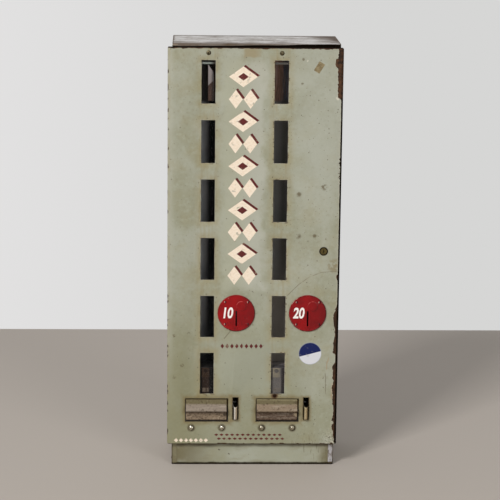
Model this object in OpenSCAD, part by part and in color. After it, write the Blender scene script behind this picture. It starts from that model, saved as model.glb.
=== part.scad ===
// Two-column packet vending machine.
// A folded steel cabinet stands on its plinth and is closed by a flanged door hinged at the left.
// The door carries everything that works: packet magazines, vend drawers, coin gear and lock.
// Millimetres, +Z up, front towards -Y, origin at the middle of the base.

/* [Cabinet] */
// Width of the cabinet behind the door
cabinet_w = 380; // [360:1:420]
// Height of the cabinet from the floor to its top
cabinet_h = 990; // [900:1:1100]
// Depth of the cabinet from its front flanges to its back
cabinet_d = 188; // [170:1:260]
// Thickness of the cabinet and door sheet
sheet = 1.5; // [1:0.1:2]
// Outer radius of the folded corners
fold_r = 4; // [3:0.5:8]
// Width of the flanges folded in at the front
front_flange = 12; // [10:1:16]
// Width of the flanges folded in at the back
rear_flange = 20; // [14:1:30]
// Depth of the turned edges of the top and the floor tray
skirt_h = 14; // [10:1:18]
// How far the plinth rises behind the door
plinth_lap = 12; // [6:1:14]
// Distance between the wall fixing holes, across
wall_hole_dx = 260; // [200:1:300]
// Distance between the wall fixing holes, up
wall_hole_dz = 700; // [400:1:800]
// Radius of the wall fixing holes
wall_hole_r = 4; // [3:0.5:6]

/* [Door] */
// Height of the door's lower edge above the floor
door_bottom = 54; // [40:1:56]
// How far the door's top lies below the cabinet's top
door_top_drop = 7; // [4:1:12]
// How far the door stands past the cabinet on the lock side
lock_overhang = 5.5; // [2:0.5:10]
// Depth of the door's turned edges
door_depth = 11; // [10:1:16]
// Gap between the door's edges and the cabinet
door_gap = 1; // [0.5:0.5:3]
// Corner radius of the door
door_corner = 3; // [1:0.5:8]

/* [Hinges and lock] */
// Height of the lower hinge's middle
hinge_low = 142; // [120:1:300]
// How far the upper hinge's middle lies below the door's top
hinge_drop = 89; // [60:1:200]
// Length of each hinge
hinge_len = 64; // [50:1:90]
// Outer radius of the hinge knuckles
knuckle_r = 4; // [3.5:0.5:5]
// Radius of the hinge pins
hinge_pin_r = 2; // [1.5:0.5:2.5]
// Thickness of the hinge leaves
leaf_t = 2; // [1.5:0.5:2.5]
// Width of the leaf on the cabinet
leaf_w = 26; // [20:1:40]
// Distance of the lock from the door's edge
lock_edge = 37.3; // [34:0.1:44]
// Height of the lock
lock_z = 516; // [440:1:700]
// Radius of the lock barrel
lock_r = 10; // [9:0.5:12]
// Radius of the lock plug
plug_r = 7.5; // [6:0.5:8]
// Length of the lock barrel behind the door
lock_len = 16.5; // [15:0.5:24]
// Width of the lock cam
cam_w = 14; // [10:1:16]
// Thickness of the lock cam
cam_t = 3; // [2:0.5:4]

/* [Windows and magazines] */
// Distance of the left column from the door's middle
column_left = 106; // [100:1:112]
// Distance between the two columns
column_pitch = 165; // [160:1:172]
// Width of a window
window_w = 31.5; // [20:0.5:50]
// Height of a window
window_h = 98; // [80:1:120]
// Distance from one window to the next
window_pitch = 136; // [125:1:160]
// How far the first windows lie below the door's top
window_drop = 29; // [26:1:40]
// Thickness of the clear strip behind the windows
clear_t = 2; // [1:0.5:3]
// Inside width of a magazine
mag_w = 80; // [70:1:84]
// Inside depth of a magazine behind the clear strip
mag_d = 60.5; // [50:0.5:70]
// Thickness of the magazine, chute and drawer sheet
thin = 1.2; // [0.8:0.1:1.5]
// Width of the magazine's front flanges
mag_flange = 10; // [8:0.5:11]
// How far the magazine screws lie below the door's top
screw_drop = 12.5; // [11:0.5:16]
// Height of a follower weight
follower_h = 67; // [40:1:90]
// Width of the slot that guides the follower
keeper_slot = 8; // [6:0.5:12]
// How far the follower's slot lies to the right of the column
keeper_x = 27; // [24:1:29]

/* [Vend drawers] */
// Width of a drawer front
drawer_w = 97.5; // [94:0.5:102]
// Height of a drawer front
drawer_h = 53.8; // [50:0.2:58]
// Height of the drawer's lower edge above the floor
drawer_bottom = 109.6; // [106:0.2:116]
// Gap round the drawer in the door
drawer_gap = 0.75; // [0.5:0.05:1.5]
// How far the pull stands out of the door
pull_proj = 14; // [8:0.5:20]
// Height of the flat band above the pull
pull_band = 12.4; // [8:0.2:16]
// Height of the pull's lip above the drawer's lower edge
pull_lip = 25; // [20:0.5:29]
// Thickness of the pull's hood
hood_t = 2; // [1:0.5:3]
// Thickness of the drawer front's plate
front_t = 2.5; // [2:0.5:4]
// How far the drawer front stands proud of the door
front_proud = 1; // [0:0.5:1.5]
// How far the drawer front stops short of its tray on the right
front_short = 2.4; // [0.5:0.1:3.5]
// How far the drawer front stops short of its tray at the bottom
front_rise = 2.2; // [0.5:0.1:3]
// How far a drawer pulls out
travel_out = 70; // [60:1:76]
// How far a drawer pushes in
travel_in = 8; // [4:1:10]
// Thickness of the drawer guide's sheet
guide_t = 1.5; // [1:0.5:2.5]
// Height of the drawer guide's side walls
guide_h = 33; // [30:1:36]
// Distance between the two bolts of a drawer guide
bolt_pitch = 71.5; // [60:0.5:80]
// Height of the guide bolts above the door's lower edge
bolt_rise = 39; // [34:1:40]
// Radius of the guide bolts' round heads
bolt_head_r = 7; // [5:0.5:8]
// Radius of the guide bolts' shanks
bolt_r = 3; // [2:0.5:4]

/* [Coin gear] */
// Distance of the coin line from the drawer's side
coin_gap = 18.5; // [17:0.5:22]
// Height of the coin disc's middle
disc_z = 369.5; // [330:0.5:420]
// Radius of the coin disc
disc_r = 43.2; // [38:0.2:48]
// Thickness of the coin disc
disc_t = 1.6; // [1:0.2:2.4]
// Width of the coin slot
slot_w = 3.5; // [2.5:0.1:4.5]
// Height of the coin slot
slot_h = 36; // [30:1:40]
// How far the slot's middle lies below the disc's middle
slot_drop = 12.8; // [8:0.2:16]
// Radius of the round boss on the disc
boss_r = 11; // [8:0.5:12]
// Inside width of the coin chute
chute_w = 5; // [4.5:0.1:6]
// Inside depth of the coin chute
chute_d = 35; // [30:1:40]
// Outer radius of the coin return scoop
scoop_r = 7; // [6:0.5:8]
// Height of the scoop's rim above its bottom
scoop_h = 34; // [24:1:40]
// Height of the opening in the door for the scoop
scoop_open = 53; // [48:1:56]
// Height of the coin lever's pivot above the drawer's lower edge
lever_rise = 39.5; // [38:0.5:42]

/* [Cash box] */
// Depth of the cash box
cash_d = 110; // [90:1:140]
// Height of the cash box
cash_h = 58; // [40:1:66]

/* [Hidden] */
$fn = 48;

// Clearances
play = 0.05;
clear = 0.3;
through = 1;

// Door and cabinet edges, with y counted from the door's front face
knuckle_clear = 0.6;
leaf_play = 0.4;
hinge_overhang = sheet + leaf_play + 2 * knuckle_r + knuckle_clear;
door_w = cabinet_w + hinge_overhang + lock_overhang;
door_top = cabinet_h - door_top_drop;
door_h = door_top - door_bottom;
cab_left = hinge_overhang - door_w / 2;
cab_right = cab_left + cabinet_w;
cab_mid = (cab_left + cab_right) / 2;
cab_front = door_depth + door_gap;
cab_rear = cab_front + cabinet_d;
overall_d = pull_proj + cab_rear;
front_y = pull_proj - overall_d / 2;
plinth_h = door_bottom + plinth_lap;
opening_w = cabinet_w - 2 * front_flange;

// Hinges and lock
hinge_x = cab_left - knuckle_clear - knuckle_r;
hinge_setback = 3;
hinge_y = door_depth + hinge_setback;
hinge_z = [hinge_low, door_top - hinge_drop];
hinge_mid = hinge_len * 0.4;
leaf_clear = knuckle_r + 2 * leaf_play;
leaf_screw_inset = 8;
leaf_screw_y = hinge_y + leaf_w - leaf_screw_inset;
rivet_r = 1.6;
rivet_head_r = 2 * rivet_r;
rivet_head_h = 0.8 * rivet_r;
flat_head_r = 1.7 * rivet_r;
flat_head_h = 0.7 * rivet_r;
rivet_dz = hinge_len * 0.3;
lock_x = door_w / 2 - lock_edge;
barrel_proud = 0.6;
plug_recess = 1.2;
lock_rear = sheet + lock_len;
cam_front = lock_rear + clear;
tail_w = plug_r * 0.9;
cam_reach = lock_edge - lock_overhang - fold_r;
strike_inset = 1;
strike_half = cam_w * 1.3;

// Columns
column_x = [-column_left, column_pitch - column_left];
drawer_top = drawer_bottom + drawer_h;
inner_y = sheet + clear_t;
mag_back = inner_y + mag_d;
drawer_headroom = 2.6;
mag_bottom = drawer_top + drawer_headroom;
screw_z = door_top - screw_drop;
strap_half = 9;
mag_top = screw_z - strap_half / 2;
window_top = door_top - window_drop;
window_sill = 8;
window_floor = mag_bottom + window_sill;
window_rows = floor((window_top - window_floor + window_pitch - window_h) / window_pitch);
bar_h = 4.8;
bar_drop = 4.6;
screw_r = 2;
screw_head_r = 5.4;
screw_head_h = 2.6;
nut_h = 3.2;
nut_r = 1.9 * screw_r;

// Followers
follower_gap = 2;
follower_front = inner_y + 1.5 * follower_gap;
follower_bottom = mag_bottom + 2 * follower_gap;
keeper_rise = 20;
keeper_h = 20;
keeper_plate = 20;
keeper_t = 2;

// Vend drawers and their guides
tray_half = drawer_w / 2 - clear;
tray_front = front_t - front_proud;
pocket_room = 2;
pocket_back = mag_back + pocket_room;
tray_rear = pocket_back + mag_d + pocket_room;
tray_top = drawer_top - thin;
guide_half = drawer_w / 2 + clear;
guide_floor = drawer_bottom - clear;
guide_rear = tray_rear + travel_in + clear;
shelf_t = 2;
bolt_z = door_bottom + bolt_rise;
flange_edge = 13;
guide_flange = bolt_z - flange_edge;
bolt_head_h = 4.5;
guide_nut_r = 5.8;
guide_nut_h = 5;

// Coin gear
coin_line = drawer_w / 2 + coin_gap;
disc_rivet_place = disc_r * 0.61;
scoop_rise = 4.4;
scoop_bottom = drawer_bottom + scoop_rise;
scoop_top = scoop_bottom + scoop_open;
scoop_wall = thin;
hopper_rear = 15.5;
scoop_edge = 3.5;
rim_rise = 4;
rim_dip = 6;
chute_gap = 1.5;
chute_bottom = scoop_top + scoop_edge + chute_gap;
slot_z = disc_z - slot_drop;
slot_margin = 2;
chute_top = slot_z + slot_h / 2 + 4 * slot_margin;
tab_h = 12;
tab_w = 8;
lever_room = 4;
lever_x = guide_half + guide_t + lever_room;
lever_z = drawer_bottom + lever_rise;
lever_pin_r = 1.5;
ear_t = 1.5;
lever_front = hopper_rear + ear_t + clear;
lever_w = 8;
lever_bar = 2.6;
eye_r = 3.2;
nose_rise = 12.5;
nose_z = drawer_bottom + nose_rise;
nose_h = 6;
nose_room = 3;
lever_slot_front = lever_front - travel_in - clear;
lever_slot_rear = lever_front + lever_w + travel_out + clear;

// Cash box
cash_gap = 2.5;
cash_front = cab_front + sheet + cash_gap;
cash_spread = 45;
cash_left = column_x[0] + coin_line - cash_spread;
cash_right = column_x[1] + coin_line + cash_spread;
cash_wall = 1;
cash_rim = 4;
notch_r = 14;

// Colours
sage = [0.62, 0.63, 0.55];
weathered = [0.68, 0.66, 0.63];
steel = [0.45, 0.45, 0.46];
dull_zinc = [0.53, 0.47, 0.40];
plated = [0.70, 0.69, 0.66];
red = [0.50, 0.13, 0.13];
iron = [0.30, 0.25, 0.22];
brass = [0.55, 0.48, 0.27];

// Moves a piece from the door's front face to its place in the part
module from_front() {
    translate([0, front_y, 0]) children();
}

// A block from its two corners
module slab(low, high) {
    translate(low) cube(high - low);
}

// A rectangle with round corners, about its middle
module rounded(w, h, r) {
    square([w - 2 * r, h], center = true);
    square([w, h - 2 * r], center = true);
    for (sx = [-1, 1], sz = [-1, 1])
        translate([sx * (w / 2 - r), sz * (h / 2 - r)]) circle(r);
}

// An upright plate from a flat outline drawn in x and z
module upright(y0, y1) {
    translate([0, y1, 0]) rotate([90, 0, 0]) linear_extrude(y1 - y0) children();
}

// A side profile drawn in y and z, drawn out from x0 to x1
module profile(x0, x1) {
    translate([x0, 0, 0]) rotate([90, 0, 90]) linear_extrude(x1 - x0) children();
}

// A rod along y from a point
module rod_y(at, r, l) {
    translate(at) rotate([-90, 0, 0]) cylinder(r = r, h = l);
}

// A rod along x from a point
module rod_x(at, r, l) {
    translate(at) rotate([0, 90, 0]) cylinder(r = r, h = l);
}

// A round head that stands on the xy plane
module dome(r, h) {
    ball = (r * r + h * h) / (2 * h);
    rotate_extrude() intersection() {
        translate([0, h - ball]) circle(ball);
        square([r, h]);
    }
}

// A round head that points to the front
module front_dome(at, r, h) {
    translate(at) rotate([90, 0, 0]) dome(r, h);
}

// Plan of the cabinet, drawn in by an inset
module cabinet_plan(inset) {
    translate([cab_mid, (cab_front + cab_rear) / 2])
        rounded(cabinet_w - 2 * inset, cabinet_d - 2 * inset, fold_r - inset);
}

// Places of the rivets that join a side to the top and to the floor tray
function side_rivet_y() = [for (share = [0.15, 0.5, 0.85]) cab_front + share * cabinet_d];
function side_rivet_z() = [skirt_h * 0.55, cabinet_h - sheet - skirt_h * 0.55];

// Holes along x for those rivets, through the sides and the turned edges inside them
module side_rivet_holes() {
    for (x = [cab_left, cab_right - 2 * sheet], y = side_rivet_y(), z = side_rivet_z())
        rod_x([x - through, y, z], rivet_r, 2 * sheet + 2 * through);
}

// Holes along x for the screws of the cabinet's hinge leaves
module hinge_screw_holes() {
    for (z = hinge_z, dz = [-rivet_dz, rivet_dz])
        rod_x([cab_left - leaf_t - through, leaf_screw_y, z + dz], rivet_r, leaf_t + sheet + 2 * through);
}

// Folded side of the cabinet with its front and rear flanges
module cabinet_side(right) {
    half = cabinet_w / 2 + through;
    color(sage) from_front() difference() {
        linear_extrude(cabinet_h - sheet) difference() {
            cabinet_plan(0);
            cabinet_plan(sheet);
            translate([cab_mid - opening_w / 2, cab_front - through])
                square([opening_w, sheet + 2 * through]);
            translate([cab_left + rear_flange, cab_rear - sheet - through])
                square([cabinet_w - 2 * rear_flange, sheet + 2 * through]);
            translate([right ? cab_mid - half : cab_mid, cab_front - through])
                square([half, cabinet_d + 2 * through]);
        }
        side_rivet_holes();
        hinge_screw_holes();
    }
}

// Flat back that lies against the rear flanges, with the wall fixing holes
module back_panel() {
    color(sage) from_front() difference() {
        slab([cab_left + fold_r, cab_rear - 2 * sheet, 0],
             [cab_right - fold_r, cab_rear - sheet, cabinet_h - sheet]);
        for (sx = [-1, 1], sz = [-1, 1])
            rod_y([cab_mid + sx * wall_hole_dx / 2, cab_rear - 2 * sheet - through,
                   cabinet_h / 2 + sz * wall_hole_dz / 2], wall_hole_r, sheet + 2 * through);
    }
}

// Top plate with turned-down edges inside the cabinet
module top_panel() {
    top = cabinet_h - sheet;
    low = top - skirt_h;
    rear = cab_rear - 2 * sheet;
    color(weathered) from_front() difference() {
        union() {
            translate([0, 0, top]) linear_extrude(sheet) cabinet_plan(0);
            for (x = [cab_left + sheet, cab_right - 2 * sheet])
                slab([x, cab_front + fold_r, low], [x + sheet, rear - fold_r, top]);
            slab([cab_mid - opening_w / 2 + clear, cab_front, low],
                 [cab_mid + opening_w / 2 - clear, cab_front + sheet, top]);
            slab([cab_left + rear_flange, rear - sheet, low], [cab_right - rear_flange, rear, top]);
        }
        side_rivet_holes();
    }
}

// Floor plate with turned-up edges and the plinth panel that shows below the door
module floor_tray() {
    rear = cab_rear - 2 * sheet;
    inner = opening_w / 2 - clear;
    color(sage) from_front() difference() {
        union() {
            slab([cab_left + sheet, cab_front + fold_r, 0], [cab_right - sheet, rear - fold_r, sheet]);
            slab([cab_mid - inner, cab_front, 0], [cab_mid + inner, cab_front + fold_r, sheet]);
            slab([cab_mid - inner, cab_front, 0], [cab_mid + inner, cab_front + sheet, plinth_h]);
            for (x = [cab_left + sheet, cab_right - 2 * sheet])
                slab([x, cab_front + fold_r, 0], [x + sheet, rear - fold_r, skirt_h]);
            slab([cab_left + rear_flange, rear - fold_r, 0], [cab_right - rear_flange, rear, sheet]);
            slab([cab_left + rear_flange, rear - sheet, 0], [cab_right - rear_flange, rear, skirt_h]);
        }
        side_rivet_holes();
    }
}

// Round-headed rivets through the sides
module cabinet_rivets() {
    color(plated) from_front()
        for (y = side_rivet_y(), z = side_rivet_z()) {
            translate([cab_left, y, z]) rotate([0, -90, 0]) dome(rivet_head_r, rivet_head_h);
            rod_x([cab_left, y, z], rivet_r - play, 2 * sheet);
            translate([cab_right, y, z]) rotate([0, 90, 0]) dome(rivet_head_r, rivet_head_h);
            rod_x([cab_right - 2 * sheet, y, z], rivet_r - play, 2 * sheet);
        }
}

// Open coin tin that stands on the floor tray, with a finger notch in its front
module cash_box() {
    low = [cash_left, cash_front, sheet];
    high = [cash_right, cash_front + cash_d, sheet + cash_h];
    wall = [cash_wall, cash_wall, cash_wall];
    over = [-cash_wall, -cash_wall, through];
    color(steel) from_front() difference() {
        union() {
            slab(low, high);
            slab([low.x - cash_rim, low.y, high.z - cash_wall],
                 [high.x + cash_rim, high.y + cash_rim, high.z]);
        }
        slab(low + wall, high + over);
        rod_y([(low.x + high.x) / 2, low.y - through, high.z], notch_r, cash_wall + 2 * through);
    }
}

// Heights where the middle knuckle of a hinge begins and ends
module hinge_middle(extra) {
    for (z = hinge_z)
        slab([hinge_x - 2 * knuckle_r, hinge_y - 2 * knuckle_r, z - hinge_mid / 2 - extra],
             [hinge_x + 2 * knuckle_r, hinge_y + leaf_clear, z + hinge_mid / 2 + extra]);
}

// Hinge leaves on the outside of the cabinet, with the outer knuckles
module hinge_leaves_cabinet() {
    color(steel) from_front() difference() {
        for (z = hinge_z) {
            slab([cab_left - leaf_t, hinge_y, z - hinge_len / 2],
                 [cab_left, hinge_y + leaf_w, z + hinge_len / 2]);
            translate([hinge_x, hinge_y, z - hinge_len / 2]) cylinder(r = knuckle_r, h = hinge_len);
        }
        hinge_middle(clear);
        hinge_bores();
        hinge_screw_holes();
    }
}

// Bores for the hinge pins
module hinge_bores() {
    for (z = hinge_z)
        translate([hinge_x, hinge_y, z - hinge_len / 2 - through])
            cylinder(r = hinge_pin_r + play, h = hinge_len + 2 * through);
}

// Round-headed screws that hold the leaves to the cabinet
module hinge_screws() {
    color(plated) from_front()
        for (z = hinge_z, dz = [-rivet_dz, rivet_dz])
            translate([cab_left - leaf_t, leaf_screw_y, z + dz]) {
                rotate([0, -90, 0]) dome(rivet_head_r, rivet_head_h);
                rod_x([0, 0, 0], rivet_r - play, leaf_t + sheet);
            }
}

// Headed pins of the two hinges
module hinge_pins() {
    head_h = 1.5;
    head_r = hinge_pin_r + 1;
    color(plated) from_front()
        for (z = hinge_z)
            translate([hinge_x, hinge_y, z - hinge_len / 2 - head_h]) {
                cylinder(r = hinge_pin_r, h = hinge_len + 2 * head_h);
                cylinder(r = head_r, h = head_h);
                translate([0, 0, hinge_len + head_h]) cylinder(r = head_r, h = head_h);
            }
}

// Block behind the right front flange that the lock cam turns in behind
module lock_strike() {
    edge = cab_right - front_flange;
    color(steel) from_front()
        slab([edge + strike_inset, cab_front + sheet, lock_z - strike_half],
             [cab_right - fold_r, cam_front - clear, lock_z + strike_half]);
}

// Outline of the door, drawn in by an inset
module door_outline(inset) {
    translate([0, (door_bottom + door_top) / 2])
        rounded(door_w - 2 * inset, door_h - 2 * inset, max(door_corner - inset, 0.5));
}

// Opening with a round lower end for a coin return scoop
module scoop_outline(r, low, high) {
    translate([0, low + r]) circle(r);
    translate([-r, low + r]) square([2 * r, high - low - r]);
}

// Everything that is cut through the door's skin for one column
module column_cuts() {
    for (row = [0:window_rows - 1])
        translate([-window_w / 2, window_top - row * window_pitch - window_h]) square([window_w, window_h]);
    translate([-drawer_w / 2 - drawer_gap, drawer_bottom - drawer_gap])
        square([drawer_w + 2 * drawer_gap, drawer_h + 2 * drawer_gap]);
    translate([0, screw_z]) circle(screw_r + play);
    for (sx = [-1, 1])
        translate([sx * bolt_pitch / 2, bolt_z]) circle(bolt_r + play);
    translate([coin_line, 0]) {
        translate([-chute_w / 2, slot_z - slot_h / 2 - slot_margin])
            square([chute_w, slot_h + 2 * slot_margin]);
        scoop_outline(scoop_r + clear, scoop_bottom - clear, scoop_top);
        disc_rivet_places() circle(rivet_r);
    }
}

// Places of the rivets round a coin disc
module disc_rivet_places() {
    for (sx = [-1, 1], sz = [-1, 1])
        translate([sx * disc_rivet_place, disc_z + sz * disc_rivet_place]) children();
}

// Holes along x for the flush rivets of the door's hinge leaves
module hinge_rivet_holes() {
    for (z = hinge_z, dz = [-rivet_dz, rivet_dz])
        rod_x([-door_w / 2 - through, door_depth / 2, z + dz], rivet_r, sheet + leaf_t + 2 * through);
}

// Flanged door skin with all its openings
module front_door() {
    color(sage) from_front() difference() {
        union() {
            upright(0, sheet) difference() {
                door_outline(0);
                for (x = column_x)
                    translate([x, 0]) column_cuts();
                translate([lock_x, lock_z]) circle(lock_r + play);
            }
            upright(0, door_depth) difference() {
                door_outline(0);
                door_outline(sheet);
            }
        }
        hinge_rivet_holes();
    }
}

// Hinge leaves inside the door's left edge, with the middle knuckles
module hinge_leaves_door() {
    inner = sheet - door_w / 2;
    color(steel) from_front() difference() {
        union() {
            for (z = hinge_z)
                slab([inner, sheet, z - hinge_len / 2],
                     [inner + leaf_t, hinge_y - leaf_clear, z + hinge_len / 2]);
            intersection() {
                for (z = hinge_z) {
                    slab([inner, sheet, z - hinge_len / 2], [inner + leaf_t, hinge_y, z + hinge_len / 2]);
                    translate([hinge_x, hinge_y, z - hinge_len / 2]) cylinder(r = knuckle_r, h = hinge_len);
                }
                hinge_middle(0);
            }
        }
        hinge_bores();
        hinge_rivet_holes();
    }
}

// Flush rivets through the door's left edge
module hinge_rivets() {
    color(plated) from_front()
        for (z = hinge_z, dz = [-rivet_dz, rivet_dz])
            rod_x([-door_w / 2, door_depth / 2, z + dz], rivet_r - play, sheet + leaf_t);
}

// Folded magazine channel behind one column of windows, with the slot for its follower
module magazine(x) {
    half = mag_w / 2;
    outer = half + thin;
    tab_low = follower_bottom + keeper_rise - clear;
    bar_top = window_top - bar_drop;
    color(steel) from_front() translate([x, 0, 0]) difference() {
        union() {
            for (x0 = [-outer, half])
                slab([x0, sheet + thin, mag_bottom], [x0 + thin, mag_back + thin, mag_top]);
            slab([-outer, mag_back, mag_bottom], [outer, mag_back + thin, mag_top]);
            slab([-outer, inner_y + clear, bar_top - bar_h], [outer, inner_y + clear + thin, bar_top]);
        }
        slab([keeper_x - keeper_slot / 2, mag_back - through, tab_low],
             [keeper_x + keeper_slot / 2, mag_back + thin + through, mag_top - 2 * keeper_h]);
    }
}

// Flat frame welded to the front of a magazine: two flanges and the strap that takes its screw
module magazine_frame(x) {
    half = mag_w / 2;
    edge = half + thin + mag_flange;
    color(steel) from_front() translate([x, 0, 0]) difference() {
        union() {
            for (x0 = [-edge, half])
                slab([x0, sheet, mag_bottom], [x0 + edge - half, sheet + thin, mag_top]);
            slab([-edge, sheet, screw_z - strap_half], [edge, sheet + thin, screw_z + strap_half]);
        }
        rod_y([0, sheet - through, screw_z], screw_r + play, thin + 2 * through);
    }
}

// Clear strip behind one column of windows
module window_strip(x) {
    half = mag_w / 2 - clear;
    low = mag_bottom + follower_gap;
    high = screw_z - strap_half - clear;
    color([0.8, 0.85, 0.85, 0.4]) from_front()
        slab([x - half, sheet, low], [x + half, sheet + clear_t, high]);
}

// Slotted round-head screws at the top of the magazines
module magazine_screws() {
    tail = sheet + thin + nut_h + through;
    half_slot = 0.6;
    color(plated) from_front()
        for (x = column_x) {
            difference() {
                front_dome([x, 0, screw_z], screw_head_r, screw_head_h);
                slab([x - screw_head_r, -screw_head_h - through, screw_z - half_slot],
                     [x + screw_head_r, -screw_head_h / 2, screw_z + half_slot]);
            }
            rod_y([x, 0, screw_z], screw_r, tail);
        }
}

// Nuts behind the magazine straps
module magazine_nuts() {
    color(steel) from_front()
        for (x = column_x)
            difference() {
                rod_y_hex([x, sheet + thin, screw_z], nut_r, nut_h);
                rod_y([x, sheet + thin - through, screw_z], screw_r + play, nut_h + 2 * through);
            }
}

// A six-sided nut blank along y
module rod_y_hex(at, r, l) {
    translate(at) rotate([-90, 0, 0]) cylinder(r = r, h = l, $fn = 6);
}

// Pressed disc round a coin slot, with its rim, slot plate and round boss
module coin_disc(x) {
    rim_w = 2;
    lift = 0.7;
    boss_dx = 11.3;
    boss_dz = 16.8;
    boss_lift = 1.4;
    plate_w = 12;
    plate_edge = 3;
    color(red) from_front() translate([x + coin_line, 0, 0]) difference() {
        union() {
            rod_y([0, -disc_t, disc_z], disc_r, disc_t);
            difference() {
                rod_y([0, -disc_t - lift, disc_z], disc_r, lift);
                rod_y([0, -disc_t - lift - through, disc_z], disc_r - rim_w, lift + 2 * through);
            }
            rod_y([boss_dx, -disc_t - boss_lift, disc_z + boss_dz], boss_r, boss_lift);
            slab([-plate_w / 2, -disc_t - lift, slot_z - slot_h / 2 - plate_edge],
                 [plate_w / 2, -disc_t, slot_z + slot_h / 2 + plate_edge]);
        }
        slab([-slot_w / 2, -disc_t - boss_lift - through, slot_z - slot_h / 2],
             [slot_w / 2, through, slot_z + slot_h / 2]);
        upright(-disc_t - through, through) disc_rivet_places() circle(rivet_r);
    }
}

// Round-headed rivets that hold the discs to the door
module disc_rivets() {
    color(plated) from_front()
        for (x = column_x, sx = [-1, 1], sz = [-1, 1])
            translate([x + coin_line + sx * disc_rivet_place, -disc_t, disc_z + sz * disc_rivet_place]) {
                front_dome([0, 0, 0], flat_head_r, flat_head_h);
                rod_y([0, 0, 0], rivet_r - play, disc_t + sheet);
            }
}

// Flat upright channel that leads a coin from the slot down to the lever
module coin_chute(x) {
    half = chute_w / 2;
    outer = half + thin;
    rear = sheet + thin + chute_d;
    color(steel) from_front() translate([x + coin_line, 0, 0]) difference() {
        union() {
            slab([-outer, sheet, chute_bottom], [outer, rear + thin, chute_top + thin]);
            for (z = [chute_bottom + 2 * tab_h, slot_z - slot_h / 2 - 2 * tab_h])
                slab([-outer - tab_w, sheet, z], [outer + tab_w, sheet + thin, z + tab_h]);
        }
        slab([-half, sheet + thin, chute_bottom - through], [half, rear, chute_top]);
        slab([-half, sheet - through, slot_z - slot_h / 2 - slot_margin],
             [half, sheet + thin + through, slot_z + slot_h / 2 + slot_margin]);
    }
}

// Half-round coin return scoop with a slanted rim, its plate and the small hopper behind the door
module coin_scoop(x) {
    inner_r = scoop_r - scoop_wall;
    base = scoop_bottom + scoop_r;
    rim = scoop_bottom + scoop_h;
    ramp_low = scoop_bottom + 3;
    ramp_high = scoop_bottom + 26;
    cheek_top = scoop_top - 6;
    cheek = [[sheet, ramp_low], [hopper_rear, ramp_high], [hopper_rear, cheek_top], [sheet, scoop_top]];
    above = rim + 2 * scoop_r;
    far = -2 * scoop_r;
    cut = [[0, rim + rim_rise], [far, rim - rim_rise - 2 * rim_dip], [far, above], [0, above]];
    color(plated) from_front() translate([x + coin_line, 0, 0]) {
        difference() {
            union() {
                translate([0, 0, scoop_bottom]) cylinder(r = scoop_r, h = scoop_h + rim_rise);
                slab([-scoop_r, 0, base], [scoop_r, sheet, rim + scoop_r]);
            }
            translate([0, 0, scoop_bottom + scoop_wall]) cylinder(r = inner_r, h = scoop_h + scoop_r);
            slab([-inner_r, 0, base], [inner_r, scoop_r + through, above]);
            slab([-2 * scoop_r, 0, scoop_bottom - through], [2 * scoop_r, 2 * scoop_r, base]);
            slab([-2 * scoop_r, sheet, scoop_bottom], [2 * scoop_r, 2 * scoop_r, above]);
            profile(-2 * scoop_r, 2 * scoop_r) polygon(cut);
        }
        upright(sheet, sheet + scoop_wall) difference() {
            scoop_outline(scoop_r + scoop_edge, scoop_bottom - scoop_edge, scoop_top + scoop_edge);
            scoop_outline(inner_r, scoop_bottom + scoop_wall, scoop_top);
        }
        for (x0 = [-scoop_r, inner_r])
            profile(x0, x0 + scoop_wall) polygon(cheek);
        profile(-scoop_r, scoop_r)
            polygon([cheek[0], cheek[1], cheek[1] + [0, scoop_wall], cheek[0] + [0, scoop_wall]]);
    }
}

// Channel that carries one drawer, bolted to the door through its front flange
module drawer_guide(x) {
    outer = guide_half + guide_t;
    wall_top = guide_floor + guide_h;
    low = guide_floor - shelf_t;
    ear_edge = 0.8;
    ear_h = 8;
    ear_low = wall_top - ear_h;
    ear_side = lever_x + eye_r + ear_edge;
    color(steel) from_front() translate([x, 0, 0]) difference() {
        union() {
            slab([-outer, sheet, guide_flange], [outer, sheet + shelf_t, guide_floor]);
            slab([-outer, sheet, low], [outer, guide_rear + guide_t, guide_floor]);
            for (x0 = [-outer, guide_half])
                slab([x0, sheet, low], [x0 + guide_t, guide_rear + guide_t, wall_top]);
            slab([-outer, guide_rear, low], [outer, guide_rear + guide_t, wall_top]);
            for (y = [lever_front - clear - ear_t, lever_front + lever_w + clear])
                slab([outer, y, ear_low], [ear_side, y + ear_t, lever_z + eye_r + ear_edge]);
        }
        for (sx = [-1, 1])
            rod_y([sx * bolt_pitch / 2, sheet - through, bolt_z], bolt_r + play, shelf_t + 2 * through);
        slab([guide_half - through, lever_front - clear, nose_z - nose_room],
             [outer + through, lever_front + lever_w + clear, nose_z + nose_h + nose_room]);
        rod_y([lever_x, lever_front - 2 * ear_t, lever_z], lever_pin_r + play, lever_w + 4 * ear_t);
    }
}

// Round-headed bolts that hold the drawer guides
module guide_bolts() {
    tail = sheet + shelf_t + guide_nut_h + 2 * through;
    color(plated) from_front()
        for (x = column_x, sx = [-1, 1]) {
            front_dome([x + sx * bolt_pitch / 2, 0, bolt_z], bolt_head_r, bolt_head_h);
            rod_y([x + sx * bolt_pitch / 2, 0, bolt_z], bolt_r, tail);
        }
}

// Nuts on the guide bolts
module guide_nuts() {
    color(steel) from_front()
        for (x = column_x, sx = [-1, 1])
            translate([x + sx * bolt_pitch / 2, sheet + shelf_t, bolt_z]) difference() {
                rod_y_hex([0, 0, 0], guide_nut_r, guide_nut_h);
                rod_y([0, -through, 0], bolt_r + play, guide_nut_h + 2 * through);
            }
}

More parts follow.
